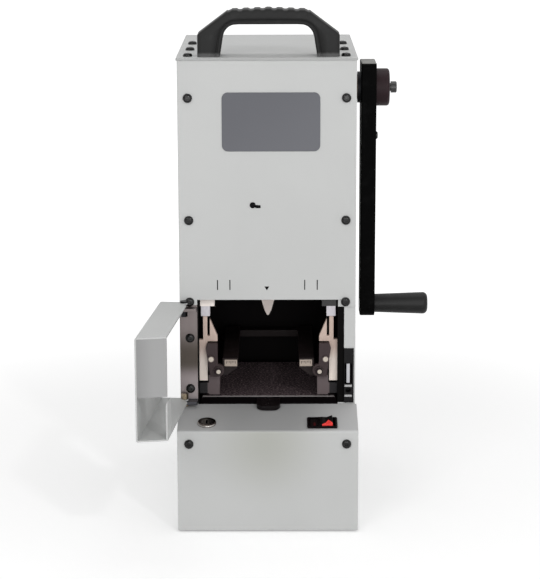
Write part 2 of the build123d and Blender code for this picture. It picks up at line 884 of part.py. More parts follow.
# Guard door, shown open: a channel with mitred free ends that shuts just above the tray's pull
door_plane = Plane(
    origin=(pin_x, hinge_y, 0),
    x_dir=(-sin(door_angle), -cos(door_angle), 0),
    z_dir=(0, 0, 1),
)
door_outer = door_rim - door_depth
door_end = door_length - door_corner
tab_plane = Plane(
    origin=door_plane.from_local_coords((door_end - tab_length, door_rim, door_bottom)),
    x_dir=door_plane.x_dir,
    z_dir=-door_plane.y_dir,
)
with BuildPart() as guard_door:
    for z in (door_bottom, door_top - sheet):
        with BuildSketch(door_plane.offset(z)):
            with BuildLine():
                Polyline(
                    (-door_heel, door_outer),
                    (door_length, door_outer),
                    (door_end, door_rim),
                    (relief_length, door_rim),
                    (relief_length, door_rim - relief_depth),
                    (0, door_rim - relief_depth),
                    (-door_heel, 0),
                    close=True,
                )
            make_face()
            Circle(door_heel)
            Circle(pin_radius + pin_play, mode=Mode.SUBTRACT)
        extrude(amount=sheet)
    with BuildSketch(door_plane.offset(door_bottom)):
        with Locations(((door_length - door_heel) / 2, door_outer + sheet / 2)):
            Rectangle(door_length + door_heel, sheet)
    extrude(amount=door_top - door_bottom)
    with BuildSketch(tab_plane) as tab:
        Rectangle(tab_length, tab_height, align=(Align.MIN, Align.MIN))
        fillet(tab.vertices().group_by(Axis.Y)[-1], tab_corner)
    extrude(amount=sheet)
    bends = guard_door.edges().filter_by(lambda e: abs(e.length - door_length - door_heel) < 0.01)
    outer_bends = bends.filter_by(lambda e: door_plane.to_local_coords(e.center()).Y < door_outer + 0.1)
    fillet(outer_bends, door_bend)
guard_door.part.label = "guard_door"
export_step(guard_door.part, "parts/guard_door.step")


# Latch block beside the opening, with a roller on a pin in its pocket
with BuildPart() as latch_block:
    with BuildSketch(Plane.XY.offset(opening_bottom + face_gap)):
        with Locations(((frame_edge + inner_x) / 2, behind(latch_front + latch_depth / 2))):
            Rectangle(inner_x - frame_edge - 2 * face_gap, latch_depth)
    extrude(amount=latch_top - opening_bottom - 2 * face_gap)
    with BuildSketch(Plane.XZ.offset(-behind(latch_front))):
        with Locations((roller_x, roller_z)):
            Rectangle(2 * (roller_radius + roller_room), roller_length + 2 * roller_room)
        with Locations((roller_x, latch_hole_z)):
            Circle(latch_hole_radius)
    extrude(amount=-pocket_depth, mode=Mode.SUBTRACT)
    with BuildSketch(Plane.XY.offset(roller_z - roller_length / 2 - 2 * roller_room)):
        with Locations((roller_x, behind(roller_behind))):
            Circle(roller_pin_radius)
    extrude(amount=roller_length + 4 * roller_room)
latch_block.part.label = "latch_block"
export_step(latch_block.part, "parts/latch_block.step")

with BuildPart() as latch_clips:
    with BuildSketch(Plane.XZ.offset(-behind(latch_front))):
        for z in latch_clip_heights:
            with Locations((roller_x, z)):
                Rectangle(latch_clip_width, latch_clip_height)
    extrude(amount=latch_clip_thickness)
latch_clips.part.label = "latch_clips"
export_step(latch_clips.part, "parts/latch_clips.step")

with BuildPart() as latch_roller:
    with BuildSketch(Plane.XY.offset(roller_z - roller_length / 2)):
        with Locations((roller_x, behind(roller_behind))):
            Circle(roller_radius)
            Circle(roller_pin_radius + roller_play, mode=Mode.SUBTRACT)
    extrude(amount=roller_length)
    rims = latch_roller.edges().filter_by(GeomType.CIRCLE)
    chamfer(rims.filter_by(lambda e: e.radius > roller_radius - 0.1), roller_room)
latch_roller.part.label = "latch_roller"
export_step(latch_roller.part, "parts/latch_roller.step")


def shaft_plane(x, y, z):
    """Plane across a shaft: its x is the part's Y, its y the part's Z, and its normal is +X."""
    return Plane(origin=(x, y, z), x_dir=(0, 1, 0), z_dir=(1, 0, 0))


# Side frames with bores for the bushes
crank_bush = crank_shaft_radius + shaft_play + bush_wall
journal_bush = crank_journal_radius + shaft_play + bush_wall
counter_bush = counter_shaft_radius + shaft_play + bush_wall
output_bush = output_shaft_radius + shaft_play + bush_wall
for side, left_x in (("left", cell_left - frame_thickness), ("right", cell_right)):
    upper_bush = crank_bush if side == "left" else journal_bush
    with BuildPart() as side_frame:
        with BuildSketch(Plane.YZ.offset(left_x)):
            with Locations((behind((frame_front + frame_back) / 2), (base_top + frame_top) / 2)):
                Rectangle(frame_back - frame_front, frame_top - base_top)
            with Locations((crank_y, crank_axis_z)):
                Circle(upper_bush + bush_fit, mode=Mode.SUBTRACT)
            with Locations((counter_y, counter_z)):
                Circle(counter_bush + bush_fit, mode=Mode.SUBTRACT)
            with Locations((output_y, output_z)):
                Circle(output_bush + bush_fit, mode=Mode.SUBTRACT)
        extrude(amount=frame_thickness)
    side_frame.part.label = f"side_frame_{side}"
    export_step(side_frame.part, f"parts/side_frame_{side}.step")

bush_places = (
    (cell_left, -1, crank_y, crank_axis_z, crank_bush, crank_shaft_radius, frame_thickness),
    (cell_right, 1, crank_y, crank_axis_z, journal_bush, crank_journal_radius, boss_end - cell_right),
    (cell_left, -1, counter_y, counter_z, counter_bush, counter_shaft_radius, frame_thickness),
    (cell_right, 1, counter_y, counter_z, counter_bush, counter_shaft_radius, frame_thickness),
    (cell_left, -1, output_y, output_z, output_bush, output_shaft_radius, frame_thickness),
    (cell_right, 1, output_y, output_z, output_bush, output_shaft_radius, frame_thickness),
)
with BuildPart() as shaft_bushes:
    for x, outward, y, z, outer_radius, shaft_radius, length in bush_places:
        with BuildSketch(shaft_plane(x, y, z)):
            Circle(outer_radius)
            Circle(shaft_radius + shaft_play, mode=Mode.SUBTRACT)
        extrude(amount=outward * length)
        with BuildSketch(shaft_plane(x, y, z)):
            Circle(outer_radius + bush_flange)
            Circle(shaft_radius + shaft_play, mode=Mode.SUBTRACT)
        extrude(amount=-outward * bush_flange)
shaft_bushes.part.label = "shaft_bushes"
export_step(shaft_bushes.part, "parts/shaft_bushes.step")

with BuildPart() as frame_ties:
    with BuildSketch(Plane.YZ.offset(cell_left)):
        with Locations(*[(behind(d), z) for d in tie_offsets for z in tie_heights]):
            Circle(tie_radius)
    extrude(amount=2 * cell_half)
frame_ties.part.label = "frame_ties"
export_step(frame_ties.part, "parts/frame_ties.step")


# Cell between the frames: ceiling with a slot for the ram, floor and back wall
with BuildPart() as chamber_ceiling:
    with BuildSketch(Plane.XY.offset(ceiling_bottom)):
        with Locations((cell_x, behind((ceiling_front + frame_back) / 2))):
            Rectangle(2 * cell_half, frame_back - ceiling_front)
        with Locations((ram_x, behind((ram_front_behind + ram_back_behind) / 2))):
            Rectangle(
                2 * (ram_half + wedge_slot_play),
                ram_back_behind - ram_front_behind + 2 * wedge_slot_play,
                mode=Mode.SUBTRACT,
            )
        with Locations((ram_x, behind(wedge_front_behind + wedge_length / 2))):
            Rectangle(
                2 * (wedge_half + wedge_slot_play),
                wedge_length + 2 * wedge_slot_play,
                mode=Mode.SUBTRACT,
            )
    extrude(amount=ceiling_thickness)
chamber_ceiling.part.label = "chamber_ceiling"
export_step(chamber_ceiling.part, "parts/chamber_ceiling.step")

floor_top = tray_bottom - face_gap
with BuildPart() as chamber_floor:
    with BuildSketch(Plane.XY.offset(floor_top)):
        with Locations((cell_x, (cover_front + behind(cell_back)) / 2)):
            Rectangle(2 * cell_half, behind(cell_back) - cover_front)
    extrude(amount=-floor_thickness)
chamber_floor.part.label = "chamber_floor"
export_step(chamber_floor.part, "parts/chamber_floor.step")

with BuildPart() as chamber_back:
    with BuildSketch(Plane.XY.offset(floor_top - floor_thickness)):
        with Locations((cell_x, behind(cell_back + 1.5 * sheet))):
            Rectangle(2 * cell_half, 3 * sheet)
    extrude(amount=ceiling_bottom - floor_top + floor_thickness)
chamber_back.part.label = "chamber_back"
export_step(chamber_back.part, "parts/chamber_back.step")


# Fixed rests and guides in the cell, drawn once and mirrored about its centre
cell_front_plane = Plane(origin=(cell_x, 0, 0), x_dir=(1, 0, 0), z_dir=(0, -1, 0))
cell_mirror = Plane.YZ.offset(cell_x)
web_bottom = runner_bottom + web_step
with BuildPart() as support_runners:
    with BuildSketch(cell_front_plane.offset(-behind(guide_front))):
        with BuildLine():
            Polyline(
                (runner_inner, runner_bottom),
                (runner_outer, runner_bottom),
                (runner_outer, web_bottom),
                (cell_half, web_bottom),
                (cell_half, web_bottom + web_height),
                (runner_outer, web_bottom + web_height),
                (runner_outer, rest_shelf_z - face_gap),
                (runner_inner, rest_shelf_z - face_gap),
                close=True,
            )
        make_face()
    extrude(amount=guide_front - rail_back)
    mirror(about=cell_mirror)
support_runners.part.label = "support_runners"
export_step(support_runners.part, "parts/support_runners.step")

with BuildPart() as drive_guides:
    with BuildSketch(cell_front_plane.offset(-behind(guide_front))):
        with BuildLine():
            Polyline(
                (cell_half, guide_bottom),
                (guide_inner, guide_bottom),
                (guide_inner, guide_shelf_z),
                (drive_gap_half, guide_shelf_z),
                (drive_gap_half, fin_foot_z),
                (fin_outer, fin_top_z),
                (fin_outer, fin_foot_z + face_gap),
                (guide_inner, fin_foot_z + face_gap),
                (guide_inner, guide_post_top),
                (post_outer, guide_post_top),
                (post_outer, post_shoulder_z),
                (cell_half, post_shoulder_z),
                close=True,
            )
        make_face()
    extrude(amount=-guide_thickness)
    mirror(about=cell_mirror)
drive_guides.part.label = "drive_guides"
export_step(drive_guides.part, "parts/drive_guides.step")

with BuildPart() as stop_blocks:
    with BuildSketch(cell_front_plane.offset(-behind(stop_front))):
        with BuildLine():
            Polyline(
                (bar_inner, ceiling_bottom),
                (bar_inner, stop_z),
                (stop_inner, stop_z),
                (stop_inner, guide_post_top + face_gap),
                (stop_outer, guide_post_top + face_gap),
                (stop_outer, stop_z),
                (bar_outer, stop_z),
                (bar_outer, ceiling_bottom),
                close=True,
            )
        make_face()
    extrude(amount=-stop_length)
    mirror(about=cell_mirror)
stop_blocks.part.label = "stop_blocks"
export_step(stop_blocks.part, "parts/stop_blocks.step")


# Height support, a removable insert: brackets and two rails joined by a bar at the back
with BuildPart() as support_brackets:
    with BuildSketch(cell_front_plane.offset(-behind(rest_front))):
        with BuildLine():
            Polyline(
                (bracket_foot_inner, rest_shelf_z),
                (bracket_foot_outer, rest_shelf_z),
                (bracket_waist, bracket_waist_z),
                (guide_inner, bracket_top),
                (bracket_inner, bracket_top),
                (bracket_inner, pin_z),
                close=True,
            )
        make_face()
        with Locations((bolt_h, bolt_z)):
            Circle(lobe_radius)
        with Locations((bolt_h, bolt_z), (pin_h, pin_z)):
            Circle(fastener_radius + face_gap, mode=Mode.SUBTRACT)
    extrude(amount=rest_front - guide_front + face_gap)
    mirror(about=cell_mirror)
support_brackets.part.label = "support_brackets"
export_step(support_brackets.part, "parts/support_brackets.step")

with BuildPart() as support_rails:
    with BuildSketch(cell_front_plane.offset(-behind(guide_front))):
        with BuildLine():
            Polyline(
                (rail_foot_inner, rest_shelf_z),
                (rail_foot_outer, rest_shelf_z),
                (rail_foot_outer, rest_shelf_z + rail_foot_height),
                (rail_outer, rest_shelf_z + rail_foot_height),
                (rail_outer, rail_top),
                (rail_inner, rail_top),
                (rail_inner, cross_bottom),
                close=True,
            )
        make_face()
    extrude(amount=guide_front - rail_back)
    mirror(about=cell_mirror)
    with BuildSketch(Plane.XY.offset(cross_bottom)):
        with Locations((cell_x, behind(rail_back - cross_width / 2))):
            Rectangle(2 * rail_inner, cross_width)
    extrude(amount=cross_height)
support_rails.part.label = "support_rails"
export_step(support_rails.part, "parts/support_rails.step")

with BuildPart() as support_fasteners:
    for h, z, radius, height in (
        (bolt_h, bolt_z, bolt_head_radius, bolt_head_height),
        (pin_h, pin_z, rest_pin_radius, rest_pin_height),
    ):
        with BuildSketch(cell_front_plane.offset(-behind(rest_front))):
            with Locations((-h, z), (h, z)):
                Circle(radius)
        extrude(amount=height)
        with BuildSketch(cell_front_plane.offset(-behind(rest_front))):
            with Locations((-h, z), (h, z)):
                Circle(fastener_radius)
        extrude(amount=rest_front - guide_front + face_gap)
support_fasteners.part.label = "support_fasteners"
export_step(support_fasteners.part, "parts/support_fasteners.step")

with BuildPart() as height_tags:
    with BuildSketch(cell_front_plane.offset(-behind(guide_front))):
        with Locations((-tag_h, tag_z), (tag_h, tag_z)):
            Rectangle(tag_width, tag_height)
    extrude(amount=tag_thickness)
height_tags.part.label = "height_tags"
export_step(height_tags.part, "parts/height_tags.step")


# Catch tray with a foam mat and a pull that lies over the ledge
tray_length = tray_back - rest_front
with BuildPart() as catch_tray:
    with BuildSketch(Plane.XY.offset(tray_bottom)):
        with Locations((cell_x, behind((rest_front + tray_back) / 2))):
            Rectangle(2 * tray_half, tray_length)
        with Locations((cell_x, behind(rest_front - tray_sheet / 2))):
            Rectangle(2 * tray_half, tray_sheet)
    extrude(amount=tray_lip_top - tray_bottom)
    with BuildSketch(Plane.XY.offset(tray_bottom + tray_sheet)):
        with Locations((cell_x, behind((rest_front + tray_back - tray_sheet) / 2))):
            Rectangle(2 * tray_half - 2 * tray_sheet, tray_length - tray_sheet)
    extrude(amount=tray_lip_top, mode=Mode.SUBTRACT)
catch_tray.part.label = "catch_tray"
export_step(catch_tray.part, "parts/catch_tray.step")

with BuildPart() as tray_mat:
    with BuildSketch(Plane.XY.offset(tray_bottom + tray_sheet)):
        with Locations((cell_x, behind((rest_front + tray_back - tray_sheet) / 2))):
            Rectangle(
                2 * tray_half - 2 * tray_sheet - 2 * face_gap,
                tray_length - tray_sheet - 2 * face_gap,
            )
    extrude(amount=mat_thickness)
tray_mat.part.label = "tray_mat"
export_step(tray_mat.part, "parts/tray_mat.step")

with BuildPart() as tray_pull:
    with BuildSketch(ledge_plane(cell_x, 0).offset(pull_gap)) as pull:
        with Locations((0, -pull_reach / 2)):
            Rectangle(2 * pull_half, pull_reach)
        fillet(pull.vertices().group_by(Axis.Y)[0], pull_corner)
        with Locations((0, pull_reach / 2)):
            Rectangle(2 * pull_half, pull_reach)
    extrude(amount=pull_thickness)
    with BuildSketch(Plane.XZ.offset(tray_sheet - behind(rest_front))):
        with Locations((cell_x, tray_bottom)):
            Rectangle(4 * pull_half, 4 * pull_half)
    extrude(amount=-2 * pull_reach, mode=Mode.SUBTRACT)
tray_pull.part.label = "tray_pull"
export_step(tray_pull.part, "parts/tray_pull.step")


# Crank: shaft with its pinion, arm, washer, hub, bolts and the turning grip
with BuildPart() as crank_shaft:
    with BuildSketch(shaft_plane(-shaft_end, crank_y, crank_axis_z)):
        Circle(crank_shaft_radius)
    extrude(amount=journal_start + shaft_end)
    with BuildSketch(shaft_plane(journal_start, crank_y, crank_axis_z)):
        Circle(crank_journal_radius)
    extrude(amount=arm_left + arm_thickness - journal_start)
    with BuildSketch(shaft_plane(first_x - first_pinion_face / 2, crank_y, crank_axis_z)):
        with BuildLine():
            gear_outline(first_pinion_teeth, first_module, first_pinion_angle)
        make_face()
    extrude(amount=first_pinion_face)
    with BuildSketch(shaft_plane(arm_left + arm_thickness, crank_y, crank_axis_z)):
        Circle(neck_radius + face_gap)
    extrude(amount=-arm_thickness, mode=Mode.SUBTRACT)
crank_shaft.part.label = "crank_shaft"
export_step(crank_shaft.part, "parts/crank_shaft.step")

with BuildPart() as crank_washer:
    with BuildSketch(shaft_plane(arm_left - washer_thickness, crank_y, crank_axis_z)):
        Circle(washer_radius)
        Circle(crank_journal_radius + mount_play, mode=Mode.SUBTRACT)
    extrude(amount=washer_thickness)
crank_washer.part.label = "crank_washer"
export_step(crank_washer.part, "parts/crank_washer.step")

with BuildPart() as crank_arm:
    with BuildSketch(shaft_plane(arm_left, crank_y, crank_axis_z)) as arm:
        with BuildLine():
            arm_bottom = -crank_throw - arm_below
            Polyline(
                (-arm_width / 2, arm_above),
                (arm_width / 2, arm_above),
                (arm_foot_width / 2, arm_bottom),
                (-arm_foot_width / 2, arm_bottom),
                close=True,
            )
        make_face()
        fillet(arm.vertices().group_by(Axis.Y)[-1], arm_top_corner)
        fillet(arm.vertices().group_by(Axis.Y)[0], arm_foot_corner)
        Circle(crank_journal_radius + mount_play, mode=Mode.SUBTRACT)
        with Locations((0, -crank_throw)):
            Circle(spindle_radius + mount_play, mode=Mode.SUBTRACT)
    extrude(amount=arm_thickness)
    outer_rims = crank_arm.faces().filter_by(Axis.X).wires().edges()
    chamfer(outer_rims.filter_by(lambda e: e.length > arm_foot_corner * 1.2), arm_edge)
crank_arm.part.label = "crank_arm"
export_step(crank_arm.part, "parts/crank_arm.step")

with BuildPart() as crank_hub:
    with BuildSketch(shaft_plane(arm_left + arm_thickness, crank_y, crank_axis_z)):
        Circle(hub_radius)
    extrude(amount=hub_thickness)
    fillet(crank_hub.edges().sort_by(Axis.X)[-1], hub_round)
    with BuildSketch(shaft_plane(arm_left + arm_thickness, crank_y, crank_axis_z)):
        Circle(neck_radius + face_gap)
    extrude(amount=hub_thickness, mode=Mode.SUBTRACT)
crank_hub.part.label = "crank_hub"
export_step(crank_hub.part, "parts/crank_hub.step")

hub_face = arm_left + arm_thickness + hub_thickness
with BuildPart() as crank_bolt:
    with BuildSketch(shaft_plane(hub_face + neck_length, crank_y, crank_axis_z)):
        Circle(stub_radius)
    extrude(amount=stub_length)
    chamfer(crank_bolt.edges().sort_by(Axis.X)[-1], stub_chamfer)
    with BuildSketch(shaft_plane(arm_left + arm_thickness / 4, crank_y, crank_axis_z)):
        Circle(neck_radius)
    extrude(amount=hub_face + neck_length - arm_left - arm_thickness / 4)
crank_bolt.part.label = "crank_bolt"
export_step(crank_bolt.part, "parts/crank_bolt.step")

with BuildPart() as arm_set_screw:
    with BuildSketch(shaft_plane(arm_left + arm_thickness, crank_y, crank_axis_z - set_screw_drop)):
        Circle(set_screw_radius)
    extrude(amount=set_screw_height)
    fillet(arm_set_screw.edges().sort_by(Axis.X)[-1], set_screw_height / 2)
arm_set_screw.part.label = "arm_set_screw"
export_step(arm_set_screw.part, "parts/arm_set_screw.step")

grip_z = crank_axis_z - crank_throw
grip_left = arm_left + arm_thickness + face_gap
with BuildPart() as grip_spindle:
    with BuildSketch(shaft_plane(arm_left, crank_y, grip_z)):
        Circle(spindle_radius)
    extrude(amount=arm_thickness + grip_length - grip_cap - face_gap)
grip_spindle.part.label = "grip_spindle"
export_step(grip_spindle.part, "parts/grip_spindle.step")

grip_axis = Axis((0, crank_y, grip_z), (1, 0, 0))
grip_end = grip_left + grip_length
with BuildPart() as crank_grip:
    with BuildSketch(Plane(origin=(0, crank_y, grip_z), x_dir=(1, 0, 0), z_dir=(0, 0, 1))) as profile:
        with BuildLine():
            Polyline(
                (grip_left, spindle_radius + spindle_play),
                (grip_left, grip_radius),
                (grip_end, grip_end_radius),
                (grip_end, 0),
                (grip_end - grip_cap, 0),
                (grip_end - grip_cap, spindle_radius + spindle_play),
                close=True,
            )
        make_face()
        corners = profile.vertices().group_by(Axis.Y)
        fillet(corners[-1], grip_end_round)
        fillet(corners[-2], grip_start_round)
    revolve(axis=grip_axis)
crank_grip.part.label = "crank_grip"
export_step(crank_grip.part, "parts/crank_grip.step")


# Countershaft: the big wheel takes the crank's pinion, its own pinion drives the output wheel
with BuildPart() as counter_shaft:
    with BuildSketch(shaft_plane(-shaft_end, counter_y, counter_z)):
        Circle(counter_shaft_radius)
    extrude(amount=2 * shaft_end)
    with BuildSketch(shaft_plane(second_x - second_pinion_face / 2, counter_y, counter_z)):
        with BuildLine():
            gear_outline(second_pinion_teeth, second_module, second_pinion_angle)
        make_face()
    extrude(amount=second_pinion_face)
counter_shaft.part.label = "counter_shaft"
export_step(counter_shaft.part, "parts/counter_shaft.step")

with BuildPart() as counter_gear:
    with BuildSketch(shaft_plane(first_x - first_face / 2, counter_y, counter_z)):
        with BuildLine():
            gear_outline(first_gear_teeth, first_module, first_gear_angle)
        make_face()
        Circle(counter_shaft_radius + mount_play, mode=Mode.SUBTRACT)
        with PolarLocations(counter_hole_ring, gear_hole_count):
            Circle(counter_hole_radius, mode=Mode.SUBTRACT)
    extrude(amount=first_face)
counter_gear.part.label = "counter_gear"
export_step(counter_gear.part, "parts/counter_gear.step")

with BuildPart() as output_shaft:
    with BuildSketch(shaft_plane(-shaft_end, output_y, output_z)):
        Circle(output_shaft_radius)
    extrude(amount=2 * shaft_end)
    with BuildSketch(shaft_plane(-rack_face / 2, output_y, output_z)):
        with BuildLine():
            gear_outline(rack_pinion_teeth, rack_module, pi)
        make_face()
    extrude(amount=rack_face)
output_shaft.part.label = "output_shaft"
export_step(output_shaft.part, "parts/output_shaft.step")

with BuildPart() as output_gear:
    with BuildSketch(shaft_plane(second_x - second_face / 2, output_y, output_z)):
        with BuildLine():
            gear_outline(second_gear_teeth, second_module, second_gear_angle)
        make_face()
        Circle(output_shaft_radius + mount_play, mode=Mode.SUBTRACT)
        with PolarLocations(output_hole_ring, gear_hole_count):
            Circle(output_hole_radius, mode=Mode.SUBTRACT)
    extrude(amount=second_face)
output_gear.part.label = "output_gear"
export_step(output_gear.part, "parts/output_gear.step")


# Ram with a rack on its back face, its guides, and the wedge under it
rack_pitch = pi * rack_module
rack_root_half = rack_pitch / 4 - backlash / 2 + 1.25 * rack_module * tan(radians(pressure_angle))
rack_tip_half = rack_pitch / 4 - backlash / 2 - rack_module * tan(radians(pressure_angle))
rack_tip_y = rack_pitch_y + rack_module
with BuildPart() as ram:
    with BuildSketch(Plane.XY.offset(ram_bottom)):
        with Locations((ram_x, behind((ram_front_behind + ram_back_behind) / 2))):
            Rectangle(2 * ram_half, ram_back_behind - ram_front_behind)
    extrude(amount=ram_length)
    with BuildSketch(Plane.YZ.offset(-rack_face / 2)):
        for tooth in range(-rack_teeth_below, rack_teeth_above):
            z = output_z + (tooth + 0.5) * rack_pitch
            with BuildLine():
                Polyline(
                    (rack_root_y, z - rack_root_half),
                    (rack_tip_y, z - rack_tip_half),
                    (rack_tip_y, z + rack_tip_half),
                    (rack_root_y, z + rack_root_half),
                    close=True,
                )
            make_face()
    extrude(amount=rack_face)
ram.part.label = "ram"
export_step(ram.part, "parts/ram.step")

with BuildPart() as ram_guides:
    with BuildSketch(Plane.XY.offset(ceiling_top)):
        with BuildLine():
            Polyline(
                (ram_half - guide_lip, behind(ram_front_behind - guide_lip)),
                (ram_half + guide_wall, behind(ram_front_behind - guide_lip)),
                (ram_half + guide_wall, behind(ram_back_behind)),
                (ram_half + slide_play, behind(ram_back_behind)),
                (ram_half + slide_play, behind(ram_front_behind - slide_play)),
                (ram_half - guide_lip, behind(ram_front_behind - slide_play)),
                close=True,
            )
        make_face()
        mirror(about=Plane.YZ)
    extrude(amount=guide_top - ceiling_top)
ram_guides.part.label = "ram_guides"
export_step(ram_guides.part, "parts/ram_guides.step")

with BuildPart() as crushing_wedge:
    with BuildSketch(Plane.XZ.offset(-behind(wedge_front_behind))):
        with BuildLine():
            Polyline(
                (-wedge_flat_half, wedge_tip_z),
                (wedge_flat_half, wedge_tip_z),
                (wedge_nose_half, wedge_nose_z),
                (wedge_half, wedge_shank_z),
                (wedge_half, ram_bottom),
                (-wedge_half, ram_bottom),
                (-wedge_half, wedge_shank_z),
                (-wedge_nose_half, wedge_nose_z),
                close=True,
            )
        make_face()
    extrude(amount=-wedge_length)
crushing_wedge.part.label = "crushing_wedge"
export_step(crushing_wedge.part, "parts/crushing_wedge.step")


# Motor on a bracket clamped to the upper tie at the back, its pinion in the big wheel
tie_y = behind(tie_offsets[-1])
tie_z = tie_heights[-1]
with BuildPart() as motor_body:
    with BuildSketch(shaft_plane(motor_face_x, motor_y, motor_z)):
        Circle(motor_radius)
    extrude(amount=motor_length)
    fillet(motor_body.edges().sort_by(Axis.X)[-1], motor_round)
    with BuildSketch(shaft_plane(motor_face_x, motor_y, motor_z)):
        Circle(motor_shaft_radius + shaft_play)
    extrude(amount=motor_length / 2, mode=Mode.SUBTRACT)
motor_body.part.label = "motor_body"
export_step(motor_body.part, "parts/motor_body.step")

with BuildPart() as motor_rotor:
    with BuildSketch(shaft_plane(first_x - first_pinion_face / 2, motor_y, motor_z)):
        Circle(motor_shaft_radius)
    extrude(amount=motor_face_x + motor_length / 2 - face_gap - first_x + first_pinion_face / 2)
    with BuildSketch(shaft_plane(first_x - first_pinion_face / 2, motor_y, motor_z)):
        with BuildLine():
            gear_outline(first_pinion_teeth, first_module, motor_pinion_angle)
        make_face()
    extrude(amount=first_pinion_face)
motor_rotor.part.label = "motor_rotor"
export_step(motor_rotor.part, "parts/motor_rotor.step")

with BuildPart() as motor_bracket:
    with BuildSketch(shaft_plane(motor_face_x, motor_y, motor_z)):
        Circle(motor_radius)
        with Locations((tie_y - motor_y, tie_z - motor_z)):
            Circle(tie_radius + bracket_wall)
        make_hull()
        Circle(motor_shaft_radius + bracket_wall, mode=Mode.SUBTRACT)
        with Locations((tie_y - motor_y, tie_z - motor_z)):
            Circle(tie_radius + mount_play, mode=Mode.SUBTRACT)
    extrude(amount=-bracket_thickness)
motor_bracket.part.label = "motor_bracket"
export_step(motor_bracket.part, "parts/motor_bracket.step")


# Key lock on the ledge
lock_plane = ledge_plane(lock_x, lock_ahead)
with BuildPart() as lock_barrel:
    with BuildSketch(lock_plane):
        Circle(lock_ring_radius)
    extrude(amount=lock_ring_height)
    fillet(lock_barrel.edges().sort_by(Axis.Z)[-1], lock_ring_height / 2)
    with BuildSketch(lock_plane):
        Circle(lock_barrel_radius)
    extrude(amount=-lock_length)
    with BuildSketch(lock_plane.offset(lock_ring_height)):
        Circle(lock_core_radius + lock_play)
    extrude(amount=-lock_length, mode=Mode.SUBTRACT)
lock_barrel.part.label = "lock_barrel"
export_step(lock_barrel.part, "parts/lock_barrel.step")

with BuildPart() as lock_core:
    with BuildSketch(lock_plane.offset(lock_ring_height)):
        Circle(lock_core_radius)
    extrude(amount=face_gap - lock_length)
    with BuildSketch(lock_plane.offset(lock_ring_height)):
        Rectangle(key_slot_width, key_slot_length)
    extrude(amount=-lock_length / 2, mode=Mode.SUBTRACT)
lock_core.part.label = "lock_core"
export_step(lock_core.part, "parts/lock_core.step")


# Rocker switch: a bezel with a deep well, and the rocker resting on its raised side
switch_plane = ledge_plane(switch_x, switch_ahead)
with BuildPart() as switch_bezel:
    with BuildSketch(switch_plane):
        RectangleRounded(switch_width, switch_height, bezel_corner)
    extrude(amount=switch_rim_height)
    with BuildSketch(switch_plane):
        Rectangle(switch_body_width, switch_body_height)
    extrude(amount=-switch_depth)
    with BuildSketch(switch_plane.offset(switch_rim_height)):
        Rectangle(2 * (rocker_half + rocker_room), rocker_width + 2 * rocker_play)
    extrude(amount=-switch_rim_height - well_depth, mode=Mode.SUBTRACT)
    outer_rim = switch_bezel.faces().sort_by(Axis.Z)[-1].outer_wire().edges()
    chamfer(outer_rim, bezel_edge)
switch_bezel.part.label = "switch_bezel"
export_step(switch_bezel.part, "parts/switch_bezel.step")

pivot = switch_plane.from_local_coords((0, 0, -rocker_pivot))
tilt = radians(rocker_tilt)
rocker_plane = Plane(
    origin=pivot,
    x_dir=switch_plane.x_dir * cos(tilt) + switch_plane.z_dir * sin(tilt),
    z_dir=-switch_plane.y_dir,
)
with BuildPart() as switch_rocker:
    with BuildSketch(rocker_plane.offset(-rocker_width / 2)):
        with BuildLine():
            Polyline(
                (-rocker_half, rocker_pivot + rocker_crest),
                (-rocker_half, 0),
                (rocker_half, 0),
                (rocker_half, rocker_pivot + rocker_crest),
                (0, rocker_pivot + rocker_valley),
                close=True,
            )
        make_face()
        Circle(rocker_hub)
    extrude(amount=rocker_width)
switch_rocker.part.label = "switch_rocker"
export_step(switch_rocker.part, "parts/switch_rocker.step")


# Control board on standoffs in the base
with BuildPart() as control_board:
    with BuildSketch(Plane.XY.offset(base_top)):
        with Locations((board_x, 0)):
            with GridLocations(board_width - standoff_inset, board_height - standoff_inset, 2, 2):
                Circle(standoff_radius)
    extrude(amount=standoff_height)
    with BuildSketch(Plane.XY.offset(base_top + standoff_height)):
        with Locations((board_x, 0)):
            Rectangle(board_width, board_height)
    extrude(amount=board_thickness)
    with BuildSketch(Plane.XY.offset(base_top + standoff_height + board_thickness)):
        with Locations((board_x - board_width / 4, 0)):
            Rectangle(transformer_width, transformer_length)
    extrude(amount=transformer_height)
    with BuildSketch(Plane.XY.offset(base_top + standoff_height + board_thickness)):
        with Locations((board_x + board_width / 4, 0)):
            with GridLocations(0, relay_pitch, 1, 3):
                Rectangle(relay_width, relay_length)
    extrude(amount=relay_height)
control_board.part.label = "control_board"
export_step(control_board.part, "parts/control_board.step")
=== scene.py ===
import json
from math import cos, radians, sin

import bpy
import numpy as np
from mathutils import Matrix, Vector


